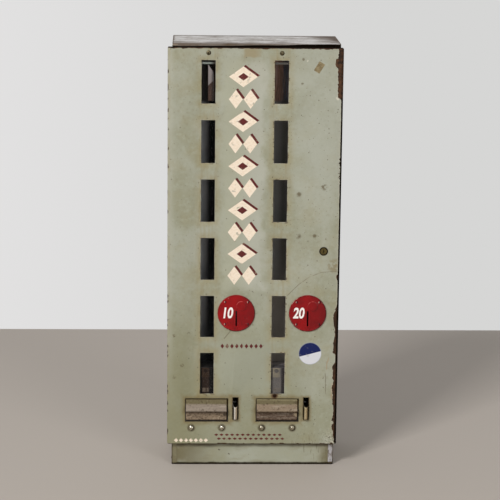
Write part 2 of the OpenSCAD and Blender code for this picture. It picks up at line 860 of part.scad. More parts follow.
// Headed pins of the coin levers, held in the guides' ears
module lever_pins() {
    head_h = 1;
    head_r = lever_pin_r + 0.9;
    first = lever_front - clear - ear_t;
    span = lever_w + 2 * clear + 2 * ear_t;
    color(plated) from_front()
        for (x = column_x) {
            rod_y([x + lever_x, first - head_h, lever_z], lever_pin_r, span + 2 * head_h);
            for (y = [first - head_h, first + span])
                rod_y([x + lever_x, y, lever_z], head_r, head_h);
        }
}

// Hanging lever: a coin on its arm swings its nose into the drawer's side slot
module coin_lever(x) {
    arm_tip = coin_line + chute_w * 0.3;
    arm_t = 2.2;
    arm_low = lever_z + eye_r - arm_t;
    nose_tip = guide_half + clear;
    bar_left = lever_x - lever_bar / 2;
    rear = lever_front + lever_w;
    color(steel) from_front() translate([x, 0, 0]) difference() {
        union() {
            rod_y([lever_x, lever_front, lever_z], eye_r, lever_w);
            slab([bar_left, lever_front, nose_z], [bar_left + lever_bar, rear, lever_z]);
            slab([nose_tip, lever_front, nose_z], [bar_left + lever_bar, rear, nose_z + nose_h]);
            slab([lever_x, lever_front, arm_low], [arm_tip, rear, arm_low + arm_t]);
        }
        rod_y([lever_x, lever_front - through, lever_z], lever_pin_r + play, lever_w + 2 * through);
    }
}

// Folded drawer: an open pocket for one packet, and a cover behind it that holds the column back
module drawer_tray(x) {
    rear_in = tray_rear - thin;
    color(dull_zinc) from_front() translate([x, 0, 0]) difference() {
        union() {
            slab([-tray_half, tray_front, drawer_bottom], [tray_half, tray_rear, drawer_bottom + thin]);
            for (x0 = [-tray_half, tray_half - thin])
                slab([x0, tray_front, drawer_bottom], [x0 + thin, tray_rear, tray_top]);
            slab([-tray_half, tray_front, drawer_bottom], [tray_half, tray_front + thin, tray_top]);
            slab([-tray_half, pocket_back, drawer_bottom], [tray_half, pocket_back + thin, tray_top]);
            slab([-tray_half, pocket_back, tray_top - thin], [tray_half, tray_rear, tray_top]);
            slab([-tray_half, rear_in, drawer_bottom], [tray_half, tray_rear, tray_top]);
        }
        slab([tray_half - thin - through, lever_slot_front, nose_z - nose_room],
             [tray_half + through, lever_slot_rear, nose_z + nose_h + nose_room]);
        drawer_rivet_places()
            rod_y([0, tray_front - through, 0], rivet_r, thin + 2 * through);
    }
}

// Places of the rivets that join a drawer front to its tray
module drawer_rivet_places() {
    rivet_dx = drawer_w * 0.3;
    rivet_rise = 10;
    for (sx = [-1, 1])
        translate([sx * rivet_dx, 0, drawer_bottom + rivet_rise]) children();
}

// Drawer front with its flat band and the hooded pull below it
module drawer_front(x) {
    band_low = drawer_top - pull_band;
    lip = drawer_bottom + pull_lip;
    face = -front_proud;
    lip_h = 3;
    low = drawer_bottom + front_rise;
    slope = [pull_proj - front_proud, band_low - lip - lip_h];
    drop = hood_t * norm(slope) / slope.x;
    hood_inner = lip + lip_h - drop + hood_t * slope.y / slope.x;
    outline = [
        [tray_front, low], [tray_front, drawer_top], [face, drawer_top], [face, band_low],
        [-pull_proj, lip + lip_h], [-pull_proj, lip],
        [hood_t - pull_proj, lip], [hood_t - pull_proj, hood_inner],
        [face, band_low - drop], [face, low]
    ];
    color(dull_zinc) from_front() translate([x, 0, 0]) difference() {
        profile(-drawer_w / 2, drawer_w / 2 - front_short) polygon(outline);
        drawer_rivet_places()
            rod_y([0, face - through, 0], rivet_r, front_t + 2 * through);
    }
}

// Rivets that join a drawer front to its tray
module drawer_rivets(x) {
    color(plated) from_front() translate([x, 0, 0])
        drawer_rivet_places() {
            front_dome([0, -front_proud, 0], flat_head_r, flat_head_h);
            rod_y([0, -front_proud, 0], rivet_r - play, front_t + thin);
        }
}

// Cast weight that follows the packets down, with a thumb dimple in the raised pad on its face
module follower(x) {
    half = mag_w / 2 - follower_gap;
    rear = mag_back - follower_gap;
    top = follower_bottom + follower_h;
    dimple_r = 5;
    dimple_deep = 1.8;
    dimple_x = -2.6;
    dimple_z = follower_bottom + follower_h * 0.885;
    pad_half = 8.5;
    pad_t = 1;
    pad_front = follower_front - pad_t;
    pad_low = follower_bottom + follower_h * 0.66;
    tab_half = keeper_slot / 2 - clear;
    tab_low = follower_bottom + keeper_rise;
    color(iron) from_front() translate([x, 0, 0]) {
        difference() {
            union() {
                slab([-half, follower_front, follower_bottom], [half, rear, top]);
                slab([dimple_x - pad_half, pad_front, pad_low], [dimple_x + pad_half, follower_front, top]);
            }
            rod_y([dimple_x, pad_front - through, dimple_z], dimple_r, through + dimple_deep);
        }
        slab([keeper_x - tab_half, rear, tab_low],
             [keeper_x + tab_half, mag_back + thin + clear, tab_low + keeper_h]);
    }
}

// Plate behind the magazine that keeps a follower in its slot
module follower_keeper(x) {
    middle = follower_bottom + keeper_rise + keeper_h / 2;
    near = mag_back + thin + clear;
    color(steel) from_front() translate([x, 0, 0])
        slab([keeper_x - keeper_plate / 2, near, middle - keeper_plate / 2],
             [keeper_x + keeper_plate / 2, near + keeper_t, middle + keeper_plate / 2]);
}

// Lock barrel with its clamping flange behind the door
module lock_case() {
    flange_r = lock_r + 3;
    flange_t = 2.5;
    color(steel) from_front() difference() {
        union() {
            rod_y([lock_x, -barrel_proud, lock_z], lock_r, lock_rear + barrel_proud);
            rod_y([lock_x, sheet, lock_z], flange_r, flange_t);
        }
        rod_y([lock_x, -barrel_proud - through, lock_z], plug_r + play,
              lock_rear + barrel_proud + 2 * through);
    }
}

// Turning plug with its keyway and square tail
module lock_plug() {
    face = plug_recess - barrel_proud;
    key_w = 2.4;
    key_h = plug_r * 1.2;
    key_deep = 8;
    color(brass) from_front() {
        difference() {
            rod_y([lock_x, face, lock_z], plug_r, cam_front - face);
            slab([lock_x - key_w / 2, face - through, lock_z - key_h / 2],
                 [lock_x + key_w / 2, face + key_deep, lock_z + key_h / 2]);
        }
        slab([lock_x - tail_w / 2, cam_front, lock_z - tail_w / 2],
             [lock_x + tail_w / 2, cam_front + cam_t, lock_z + tail_w / 2]);
    }
}

// Cam that hangs down when the lock is open
module lock_cam() {
    color(steel) from_front() difference() {
        upright(cam_front, cam_front + cam_t) translate([lock_x, lock_z]) {
            circle(cam_w / 2);
            translate([-cam_w / 2, -cam_reach]) square([cam_w, cam_reach]);
        }
        slab([lock_x - tail_w / 2, cam_front - through, lock_z - tail_w / 2],
             [lock_x + tail_w / 2, cam_front + cam_t + through, lock_z + tail_w / 2]);
    }
}

// Screw that holds the cam on the plug's tail
module cam_screw() {
    head_r = tail_w * 0.7;
    head_h = 2.4;
    color(plated) from_front() translate([lock_x, cam_front + cam_t, lock_z])
        rotate([-90, 0, 0]) dome(head_r, head_h);
}

cabinet_side(false);  // left_side
cabinet_side(true);  // right_side
back_panel();
top_panel();
floor_tray();
cabinet_rivets();
cash_box();
hinge_leaves_cabinet();
hinge_screws();
hinge_pins();
lock_strike();
front_door();
hinge_leaves_door();
hinge_rivets();
magazine(column_x[0]);  // magazine_left
magazine(column_x[1]);  // magazine_right
magazine_frame(column_x[0]);  // magazine_frame_left
magazine_frame(column_x[1]);  // magazine_frame_right
window_strip(column_x[0]);  // window_strip_left
window_strip(column_x[1]);  // window_strip_right
magazine_screws();
magazine_nuts();
coin_disc(column_x[0]);  // coin_disc_left
coin_disc(column_x[1]);  // coin_disc_right
disc_rivets();
coin_chute(column_x[0]);  // coin_chute_left
coin_chute(column_x[1]);  // coin_chute_right
coin_scoop(column_x[0]);  // coin_scoop_left
coin_scoop(column_x[1]);  // coin_scoop_right
drawer_guide(column_x[0]);  // drawer_guide_left
drawer_guide(column_x[1]);  // drawer_guide_right
guide_bolts();
guide_nuts();
lever_pins();
lock_case();
lock_plug();
lock_cam();
cam_screw();
drawer_tray(column_x[0]);  // drawer_tray_left
drawer_front(column_x[0]);  // drawer_front_left
drawer_rivets(column_x[0]);  // drawer_rivets_left
drawer_tray(column_x[1]);  // drawer_tray_right
drawer_front(column_x[1]);  // drawer_front_right
drawer_rivets(column_x[1]);  // drawer_rivets_right
follower(column_x[0]);  // follower_left
follower_keeper(column_x[0]);  // follower_keeper_left
follower(column_x[1]);  // follower_right
follower_keeper(column_x[1]);  // follower_keeper_right
coin_lever(column_x[0]);  // coin_lever_left
coin_lever(column_x[1]);  // coin_lever_right
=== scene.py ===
# Looks of a two-column packet vending machine in worn sage enamel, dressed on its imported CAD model.
import math

import bpy
from mathutils import Matrix, Vector


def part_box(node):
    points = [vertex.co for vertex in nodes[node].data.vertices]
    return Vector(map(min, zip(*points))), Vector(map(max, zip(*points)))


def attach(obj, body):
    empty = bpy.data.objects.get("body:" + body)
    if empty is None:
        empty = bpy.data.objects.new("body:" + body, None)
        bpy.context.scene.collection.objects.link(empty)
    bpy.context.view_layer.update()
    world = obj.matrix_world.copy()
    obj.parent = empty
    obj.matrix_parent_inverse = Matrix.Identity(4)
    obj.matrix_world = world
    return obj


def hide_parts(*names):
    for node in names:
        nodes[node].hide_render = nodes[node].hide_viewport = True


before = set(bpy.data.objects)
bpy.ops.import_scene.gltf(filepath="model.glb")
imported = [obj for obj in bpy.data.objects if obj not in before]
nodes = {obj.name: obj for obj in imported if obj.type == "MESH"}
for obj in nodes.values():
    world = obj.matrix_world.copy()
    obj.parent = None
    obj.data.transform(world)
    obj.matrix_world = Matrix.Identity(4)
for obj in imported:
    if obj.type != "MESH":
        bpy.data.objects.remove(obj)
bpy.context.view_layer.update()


# The studio is a plain pale floor that ends about a metre behind the machine, in front of plain white.
# A soft lamp stands high to the left of the camera and a weaker one low to the right.
# The camera stands at chest height, a little to the left, and looks slightly down.
class Wire:
    """One output in a tree of shader nodes. Sums, products and comparisons of wires add Math nodes."""

    def __init__(self, tree, socket):
        self.tree = tree
        self.socket = socket

    def node(self, kind, settings, sockets, out=0):
        """Adds a node with its settings, then its sockets' values or wires, and gives one of its outputs."""
        made = self.tree.nodes.new("ShaderNode" + kind)
        for name, value in settings.items():
            setattr(made, name, value)
        for name, value in sockets.items():
            if isinstance(value, Wire):
                self.tree.links.new(value.socket, made.inputs[name])
            else:
                made.inputs[name].default_value = value
        return Wire(self.tree, made.outputs[out])

    def other(self, out):
        """Another output of the same node."""
        return Wire(self.tree, self.socket.node.outputs[out])

    def maths(self, operation, *values):
        """Adds a Math node."""
        return self.node("Math", {"operation": operation}, dict(enumerate(values)))

    def __add__(self, value):
        return self.maths("ADD", self, value)

    __radd__ = __add__

    def __sub__(self, value):
        return self.maths("SUBTRACT", self, value)

    def __rsub__(self, value):
        return self.maths("SUBTRACT", value, self)

    def __mul__(self, value):
        return self.maths("MULTIPLY", self, value)

    __rmul__ = __mul__

    def __lt__(self, value):
        return self.maths("LESS_THAN", self, value)

    def __gt__(self, value):
        return self.maths("GREATER_THAN", self, value)

    def __abs__(self):
        return self.maths("ABSOLUTE", self)


def seen(red, green, blue):
    """A colour as it looks on a screen, from 0 to 255, as the linear colour that a shader takes."""
    share = [value / 255 for value in (red, green, blue)]
    return tuple(s / 12.92 if s < 0.04045 else ((s + 0.055) / 1.055) ** 2.4 for s in share) + (1.0,)


def new_finish(name, **fixed):
    """A material with its fixed values on the shader's sockets, and the wire of its Object coordinates."""
    material = bpy.data.materials.new(name)
    material.use_nodes = True
    shader = material.node_tree.nodes["Principled BSDF"]
    for socket, value in fixed.items():
        shader.inputs[socket.replace("_", " ")].default_value = value
    coordinates = material.node_tree.nodes.new("ShaderNodeTexCoord")
    return material, Wire(material.node_tree, coordinates.outputs["Object"])


def axes(place):
    """The x, y and z of a place."""
    x = place.node("SeparateXYZ", {}, {0: place})
    return x, x.other(1), x.other(2)


def ease(value, low, high):
    """0 at low and 1 at high, with a smooth step between them. Low may be the larger of the two."""
    return value.node("MapRange", {"interpolation_type": "SMOOTHSTEP"},
                      {"Value": value, "From Min": low, "From Max": high})


def tint(under, over, amount):
    """One colour laid over another where the amount is 1. Each is a wire, or as it looks on a screen."""
    under, over = (colour if isinstance(colour, Wire) else seen(*colour) for colour in (under, over))
    return amount.node("Mix", {"data_type": "RGBA"}, {0: amount, 6: under, 7: over}, 2)


camera_place = (-0.14244, -4.37366, 1.4312)
yaw, pitch, roll = (math.radians(angle) for angle in (-1.79, -12.03, -0.62))
camera_data = bpy.data.cameras.new("camera")
camera_data.sensor_width = 36
camera_data.lens = 137.44
camera_data.clip_end = 50
camera = bpy.data.objects.new("camera", camera_data)
bpy.context.scene.collection.objects.link(camera)
turn = Matrix.Rotation(yaw, 3, "Z") @ Matrix.Rotation(pitch, 3, "X") @ Matrix.Rotation(roll, 3, "Y")
level = turn @ Matrix.Rotation(math.radians(90), 3, "X")
camera.matrix_world = Matrix.Translation(camera_place) @ level.to_4x4()
bpy.context.scene.camera = camera
bpy.context.scene.view_settings.view_transform = "Standard"

floor_size, floor_end = 12, 1.19
bpy.ops.object.select_all(action="DESELECT")
bpy.ops.mesh.primitive_plane_add(size=floor_size, location=(0, floor_end - floor_size / 2, 0))
floor = bpy.context.object
floor.name = "floor"
floor_finish, _ = new_finish("pale_floor", Base_Color=seen(190, 180, 170), Roughness=0.75)
floor.data.materials.append(floor_finish)

world = bpy.data.worlds.new("studio_air")
world.use_nodes = True
air = Wire(world.node_tree, world.node_tree.nodes.new("ShaderNodeTexCoord").outputs["Generated"])
air_x, air_y, air_z = axes(air)
dusk = 0.21 + ease(air_z, 0.0, 0.9) * 0.32
dusk = dusk * (1 - ease(air_x, 0.1, 0.9) * 0.75) * (1 - ease(air_x, -0.5, -1.0) * 0.5)
sky = air.node("VectorMath", {"operation": "SCALE"}, {0: (0.97, 0.985, 1.0), "Scale": dusk})
white = tint((227, 226, 226), (214, 214, 213), ease(air_x, -0.17, 0.12))
ray = air.node("LightPath", {}, {}, "Is Camera Ray")
mirrored = ray.other("Is Glossy Ray") + ray.other("Is Transmission Ray")
backdrop = tint(sky, white, ray + mirrored * ease(air_y, 0.1, 0.3))
world.node_tree.links.new(backdrop.socket, world.node_tree.nodes["Background"].inputs["Color"])
bpy.context.scene.world = world

lit_place = Vector((0, 0, 0.5))
for name, at, size, power in (("key_lamp", (-4.6, -7.0, 6.4), 2.4, 592),
                              ("fill_lamp", (4.0, -6.5, 2.6), 3.0, 165)):
    lamp_data = bpy.data.lights.new(name, "AREA")
    lamp_data.size = size
    lamp_data.energy = power
    lamp = bpy.data.objects.new(name, lamp_data)
    bpy.context.scene.collection.objects.link(lamp)
    aim = lit_place - Vector(at)
    lamp.matrix_world = Matrix.Translation(at) @ aim.to_track_quat("-Z", "Y").to_matrix().to_4x4()


# The cabinet is two folded steel sides and a flat back, riveted to the top and the floor tray.
# It was sprayed in sage enamel, which has yellowed, and has rusted through along its lower edges.
# The lower end of the right front flange has lost its paint down to grey metal.
# A painted contact shadow darkens the bottom edge, and the tops of the front flanges, in the gap under the
# top plate, are painted near black as shade.
def grain(place, size, detail, seed, stretch=(1, 1, 1)):
    """Cloudy noise from 0 to 1 with features of a size in metres, drawn out along the stretched axes."""
    drawn = place.node("VectorMath", {"operation": "DIVIDE"}, {0: place, 1: stretch})
    return drawn.node("TexNoise", {"noise_dimensions": "4D"},
                      {"Vector": drawn, "W": seed, "Scale": 1 / size, "Detail": detail})


def most(first, *others):
    """The largest of some values, the first of which is a wire."""
    for other in others:
        first = first.maths("MAXIMUM", first, other)
    return first


def coats(colour, *layers):
    """A colour with others laid over it in turn, each by its amount."""
    for over, amount in layers:
        colour = tint(colour, over, amount)
    return colour


def relief(height, depth):
    """The normal of a surface that stands up by a depth in metres where the height is 1."""
    return height.node("Bump", {}, {"Height": height, "Distance": depth, "Strength": 1.0})


def feed(material, **wires):
    """Leads wires to the shader's sockets."""
    shader = material.node_tree.nodes["Principled BSDF"]
    for socket, wire in wires.items():
        material.node_tree.links.new(wire.socket, shader.inputs[socket.replace("_", " ")])


def dress(material, *names):
    """Gives CAD pieces their finish."""
    for name in names:
        nodes[name].data.materials.clear()
        nodes[name].data.materials.append(material)


def sage_coat(place):
    """The sage enamel's colour: broad faded patches, a yellow veil and fine dirt."""
    faded = ease(grain(place, 0.10, 3, 1), 0.38, 0.62)
    veil = ease(grain(place, 0.045, 4, 2), 0.45, 0.75)
    dirt = grain(place, 0.004, 3, 3)
    return coats(tint((153, 153, 131), (166, 167, 150), faded), ((150, 141, 104), veil * 0.35),
                 ((118, 110, 82), ease(dirt, 0.55, 0.85) * 0.35))


cabinet_finish, place = new_finish("cabinet_sage", Specular_IOR_Level=0.35)
x, y, z = axes(place)
low_dirt = ease(z, 0.16, 0.0) * ease(grain(place, 0.03, 4, 5, (1, 1, 2)), 0.3, 0.7)
runs = ease(grain(place, 0.012, 4, 6, (1, 1, 14)), 0.58, 0.78)
rust_spots = ease(grain(place, 0.014, 5, 7), 0.66, 0.72)
rust_low = ease(grain(place, 0.02, 5, 8) + ease(z, 0.05, 0.0) * 0.25, 0.66, 0.72)
rust = most(rust_spots * 0.8, rust_low * 0.85)
rust_colour = tint((92, 62, 40), (58, 40, 30), grain(place, 0.006, 3, 9))
below_door = ease(z, 0.056, 0.053) * ease(y, -0.0775, -0.0790)
left_end = below_door * ease(x, -0.150, -0.160)
left_corner = left_end * ease(x, -0.1845, -0.1862)
right_end = below_door * ease(x, 0.170, 0.176)
bare_level = 0.0275
flake = grain(place, 0.005, 4, 10, (1, 1, 2))
ragged_x, ragged_z = x + (flake - 0.5) * 0.0065, abs(z - bare_level) + (flake - 0.5) * 0.007
bare = right_end * ease(ragged_x, 0.1772, 0.1784) * ease(ragged_z, 0.0215, 0.0195) * ease(x, 0.1914, 0.1902)
# Painted contact shadow: a dark band along the bottom edge, where the cabinet meets the floor.
foot_shadow = ease(z + grain(place, 0.012, 4, 14) * 0.004, 0.0075, 0.0035)
# Painted shade: the tops of the front flanges, in the gap under the top plate, go black, except high on the
# left.
gap_band = ease(z, 0.980, 0.983) * ease(y, -0.0775, -0.0800)
gap_shade = most(ease(x, -0.05, 0.05), ease(z, 0.9852, 0.9842))
colour = coats(
    sage_coat(place),
    ((112, 98, 68), low_dirt * 0.75),
    ((122, 104, 70), runs * 0.4),
    (rust_colour, rust),
    ((122, 115, 88), left_end * 0.9),
    ((58, 48, 32), left_corner * 0.8),
    ((70, 60, 42), right_end * 0.85),
    (tint((176, 173, 174), (122, 113, 106), ease(flake, 0.42, 0.66)), bare),
    ((40, 32, 22), foot_shadow * 0.9),
    (tint((142, 126, 110), (22, 15, 7), gap_shade), gap_band))
feed(cabinet_finish, Base_Color=colour, Metallic=most(gap_band * gap_shade, foot_shadow) * 0.9,
     Roughness=0.42 + rust * 0.4 + grain(place, 0.03, 3, 11) * 0.15,
     Normal=relief(grain(place, 0.05, 2, 12) - rust * 0.25 + grain(place, 0.002, 2, 13) * 0.08, 0.0012))
dress(cabinet_finish, "left_side", "right_side", "back_panel", "cabinet_rivets")


# The top is one plate with turned-down edges. Its paint has weathered to a chalky grey-white.
# Brown streaks run along it, and the rear right corner has gone to dark rust.
def least(first, second):
    """The smaller of two values, the first of which is a wire."""
    return first.maths("MINIMUM", first, second)


left_edge, right_edge = (corner.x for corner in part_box("top_panel"))
top_finish, place = new_finish("weathered_top", Specular_IOR_Level=0.25)
x, y, z = axes(place)
chalk = ease(grain(place, 0.030, 6, 21, (1.6, 1, 1)), 0.32, 0.68)
streak = ease(grain(place, 0.020, 7, 22, (2.5, 1, 1)), 0.50, 0.68)
crazed = grain(place, 0.0075, 6, 28, (1.3, 1, 1))
wander = grain(place, 0.025, 5, 27, (3, 1, 1)) - 0.5
rear = ease(y + wander * 0.04, 0.082, 0.098)
ends = ease(least(x - left_edge, right_edge - x) + wander * 0.010, 0.0050, 0.0010)
front_rust = ease(y + wander * 0.08, -0.046, -0.070) * ease(x, 0.16, -0.02)
corner = ease((0.205 - x) + (0.12 - y) * 0.30 + grain(place, 0.02, 4, 24) * 0.05, 0.128, 0.066)
brown = most(rear * 0.75, ends * 0.8, front_rust * 0.65, corner * 0.9)
fold = ease(y, -0.0785, -0.0800)
dark_line = 0.9836 + (x - left_edge) * (0.0165 + wander * 0.02)
shadow_gap = fold * ease(z - dark_line, 0.0006, -0.0004)
colour = coats(
    tint((186, 179, 173), (228, 225, 222), chalk),
    ((112, 97, 84), streak * 0.65),
    ((122, 108, 94), ease(crazed, 0.54, 0.68) * 0.6),
    ((236, 234, 231), ease(crazed, 0.44, 0.30) * 0.35),
    (tint((108, 88, 70), (62, 48, 38), grain(place, 0.010, 3, 25)), brown),
    ((96, 78, 60), fold * 0.6),
    ((20, 13, 6), shadow_gap))
feed(top_finish, Base_Color=colour, Metallic=shadow_gap * 0.9, Roughness=0.62 + brown * 0.25,
     Normal=relief(chalk * 0.4 - brown * 0.6 + crazed * 0.5, 0.0008))
dress(top_finish, "top_panel")


# The floor tray's front rises as the plinth that shows below the door, in the same sage enamel.
# Shoes and mops have browned its ends, and it has a few shallow dents.
# A dark band along its bottom edge is a painted contact shadow, and a brown band along its top is painted
# shade under the door.
plinth_finish, place = new_finish("plinth_sage", Specular_IOR_Level=0.35)
x, _, z = axes(place)
cleaner_middle = 0.045
ends = most(ease(x, -0.06, -0.175), ease(x + (grain(place, 0.02, 4, 38) - 0.5) * 0.02, 0.146, 0.182))
smear = ease(grain(place, 0.02, 5, 32, (3, 1, 1)), 0.5, 0.7)
rubs = ease(grain(place, 0.004, 4, 36, (1, 1, 7)), 0.56, 0.68) * ease(x, 0.08, 0.15)
# Painted contact shadow: a dark band along the bottom edge.
foot_shadow = ease(z + grain(place, 0.012, 4, 33) * 0.004, 0.0092, 0.0050)
nick = ease(grain(place, 0.012, 5, 34), 0.67, 0.71)
# Painted shade: a brown band along the top, under the door's lower edge.
under_door_shade = ease(z + (grain(place, 0.02, 4, 37, (2, 1, 1)) - 0.5) * 0.014, 0.040, 0.052)
colour = coats(
    sage_coat(place),
    ((172, 174, 157), ease(abs(x - cleaner_middle), 0.13, 0.04) * 0.45),
    ((108, 99, 68), ends * ease(grain(place, 0.03, 4, 31), 0.15, 0.55) * 0.85),
    ((134, 126, 98), smear * 0.5),
    ((92, 84, 58), rubs * 0.6),
    ((42, 33, 17), foot_shadow * 0.97),
    ((74, 60, 40), nick),
    ((66, 54, 36), under_door_shade * 0.8))
feed(plinth_finish, Base_Color=colour, Metallic=foot_shadow * 0.9, Roughness=0.45 + smear * 0.15 + foot_shadow * 0.3,
     Normal=relief(grain(place, 0.04, 2, 35) - nick * 0.3, 0.0016))
dress(plinth_finish, "floor_tray")


# The cash box, hinge leaves, strike and the gear behind the door are plain mill-finish steel.
# It was never painted, so it has dulled to a blue-grey and freckled with rust.
# The drawer trays are folded from the same sheet. Their front, seen through the gap round each drawer front,
# is painted near black as shade.
gear_finish, place = new_finish("dull_steel", Metallic=0.75, Specular_IOR_Level=0.4)
cloud = ease(grain(place, 0.03, 4, 41), 0.3, 0.7)
freckle = ease(grain(place, 0.006, 5, 42), 0.62, 0.72)
colour = tint((116, 117, 120), (140, 141, 142), cloud)
colour = tint(colour, (104, 80, 60), freckle * 0.7)
feed(gear_finish, Base_Color=colour, Roughness=0.42 + cloud * 0.12 + freckle * 0.3,
     Normal=relief(grain(place, 0.0025, 3, 43), 0.0001))
dress(gear_finish, "cash_box", "hinge_leaves_cabinet", "hinge_leaves_door", "lock_strike", "lock_cam",
      "magazine_nuts", "guide_nuts", "drawer_guide_left", "drawer_guide_right",
      "coin_chute_left", "coin_chute_right", "coin_lever_left", "coin_lever_right",
      "follower_keeper_left", "follower_keeper_right")
tray_finish, place = new_finish("tray_shaded_front")
_, y, z = axes(place)
cloud = ease(grain(place, 0.02, 4, 45), 0.3, 0.7)
colour = tint((112, 108, 100), (136, 130, 120), cloud)
# Painted shade: the tray's front goes near black, browner higher up.
front_gap_shade = ease(y, -0.0895, -0.0905)
colour = tint(colour, tint((30, 20, 8), (80, 64, 36), ease(z, 0.134, 0.150)), front_gap_shade)
feed(tray_finish, Base_Color=colour, Metallic=0.5 + front_gap_shade * 0.4, Roughness=0.45 + cloud * 0.15,
     Normal=relief(grain(place, 0.003, 3, 46), 0.0001))
dress(tray_finish, "drawer_tray_left", "drawer_tray_right")


# The small pins, screws and rivets of the hinges and levers are nickel plated and have gone grey.
# They were turned or headed in quantity and are set in from behind.
nickel_finish, place = new_finish("aged_nickel", Metallic=1.0)
spots = ease(grain(place, 0.003, 4, 51), 0.5, 0.7)
colour = tint((196, 190, 174), (120, 108, 84), spots * 0.7)
feed(nickel_finish, Base_Color=colour, Roughness=0.24 + spots * 0.25,
     Normal=relief(grain(place, 0.0012, 2, 52), 0.00005))
dress(nickel_finish, "hinge_screws", "hinge_pins", "hinge_rivets", "lever_pins", "cam_screw")


# Round-headed bolts hold the drawer guides and slotted screws the magazines, both through the door.
# The bolts' bright crown is a painted highlight set up and to the left, inside a dark ring of dirt and
# painted shade that is deepest on their lower right.
# The screws have browned all over.
def from_nearest(off, half):
    """An offset from the middle of a pair, taken from the nearer one, which stands half a pitch out."""
    return (abs(off) - half) * off.maths("SIGN", off)


def spread(off_x, off_z):
    """The square of a distance, from its two offsets."""
    return off_x * off_x + off_z * off_z


columns_middle, columns_half = -0.0235, 0.0825
bolts_half, bolts_level = 0.03575, 0.0930
bolt_finish, place = new_finish("bolt_nickel", Metallic=1.0)
x, _, z = axes(place)
right_half = ease(x, -0.03, -0.01)
bolt_x = from_nearest(from_nearest(x - columns_middle, columns_half), bolts_half)
bolt_z = z - bolts_level
# Painted highlight: the bright crown sits up and to the left, and is larger on the left pair.
crown_off = spread(bolt_x + 0.0012, bolt_z - 0.0008) - (1 - right_half) * 0.000012
spots = ease(grain(place, 0.003, 4, 56), 0.45, 0.7)
colour = tint((198, 192, 174), (132, 120, 92), least(spots + right_half * 0.5, 1.0) * 0.8)
# Dirt and painted shade: a dark ring round the crown and a darker lower right side.
grime_and_shade = most(ease(crown_off, 0.0046 ** 2, 0.0072 ** 2) * 0.85, ease(bolt_x - bolt_z, 0.0030, 0.0085))
colour = tint(colour, (52, 44, 30), grime_and_shade * 0.9)
feed(bolt_finish, Base_Color=colour, Roughness=0.30 + spots * 0.15 + grime_and_shade * 0.2,
     Normal=relief(grain(place, 0.0015, 3, 57), 0.00008))
dress(bolt_finish, "guide_bolts")
screw_finish, place = new_finish("brown_screw", Metallic=0.8)
spots = ease(grain(place, 0.0025, 4, 55), 0.35, 0.6)
feed(screw_finish, Base_Color=tint((138, 126, 96), (34, 27, 16), spots), Roughness=0.35 + spots * 0.25)
dress(screw_finish, "magazine_screws")


# The door is one steel pan with turned edges, cut for the windows, drawers, slots and scoops.
# Its sage enamel is worn: ochre stains round the cuts, chips along the edges, specks and scratches.
# Shade and light are painted on it too: dark lines round the drawer openings, black chipped edges on its
# right and top, pale window edges on their lit sides, and a lower part darkened partly by dirt and partly by
# painted shade.
# Its cut edges and folds are rounded over a little, as a press leaves them.
def edit_all():
    """Opens the mesh of the active piece with all of it selected."""
    bpy.ops.object.mode_set(mode="EDIT")
    bpy.ops.mesh.select_all(action="SELECT")


def softened(name, width, material):
    """Copies a CAD piece, rounds its sharp edges over by a width and gives it a finish."""
    piece = bpy.data.objects.new(name + "_soft", nodes[name].data.copy())
    bpy.context.scene.collection.objects.link(piece)
    bpy.ops.object.select_all(action="DESELECT")
    bpy.context.view_layer.objects.active = piece
    piece.select_set(True)
    edit_all()
    bpy.ops.mesh.remove_doubles(threshold=0.000002)
    bpy.ops.mesh.dissolve_limited(angle_limit=math.radians(0.4))
    bpy.ops.object.mode_set(mode="OBJECT")
    bevel = piece.modifiers.new("rounded", "BEVEL")
    bevel.width = width
    bevel.segments = 2
    bevel.limit_method = "ANGLE"
    bevel.angle_limit = math.radians(40)
    bevel.use_clamp_overlap = False
    bevel.loop_slide = False
    bpy.ops.object.modifier_apply(modifier="rounded")
    bpy.ops.object.shade_smooth_by_angle(angle=math.radians(20))
    piece.data.materials.clear()
    piece.data.materials.append(material)
    return piece


def scratch(x, z, start, end, width):
    """1 along a straight scratch between two points of the door's face."""
    run_x, run_z = end[0] - start[0], end[1] - start[1]
    length_2 = run_x ** 2 + run_z ** 2
    from_x, from_z = x - start[0], z - start[1]
    along = from_x * (run_x / length_2) + from_z * (run_z / length_2)
    share = along.node("Clamp", {}, {0: along})
    off = spread(from_x - share * run_x, from_z - share * run_z)
    return ease(off, (width * 1.5) ** 2, (width * 0.4) ** 2)


def round_place(x, z, at, inner, outer):
    """1 inside a round place on the door's face, fading out between two radii."""
    return ease(spread(x - at[0], z - at[1]), outer ** 2, inner ** 2)


def outside(x, z, at, half):
    """How far a place on the door's face is outside an upright rectangle, less than 0 within it."""
    return most(abs(x - at[0]) - half[0], abs(z - at[1]) - half[1])


def specks(flat, pitch, share, low, high):
    """1 in round marks between two radii, at most one to a cell of a pitch, in a share of the cells."""
    cells = flat.node("TexVoronoi", {"voronoi_dimensions": "2D"}, {"Vector": flat, "Scale": 1 / pitch})
    chance = cells.node("SeparateColor", {}, {0: cells.other(1)})
    return ease(cells, high / pitch, low / pitch) * (chance > 1 - share)


door_low, door_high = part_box("front_door")
window_half, window_level, row_half = (0.01575, 0.049), 0.905, 0.068
door_finish, place = new_finish("door_sage", Specular_IOR_Level=0.4)
x, y, z = axes(place)
flat = x.node("CombineXYZ", {}, {0: x, 1: z})
across = from_nearest(x - columns_middle, columns_half)
row = z.maths("PINGPONG", window_level - z, row_half)
window = most(abs(across) - window_half[0], row - window_half[1]) + (z < 0.165)
drawer = outside(across, z, (0, 0.1365), (0.0495, 0.0277))
scoop = outside(across, z, (0.06725, 0.1404), (0.0073, 0.0267))
ragged = grain(place, 0.012, 5, 61)
uneven = ragged - 0.5
patchy = grain(place, 0.03, 4, 62)

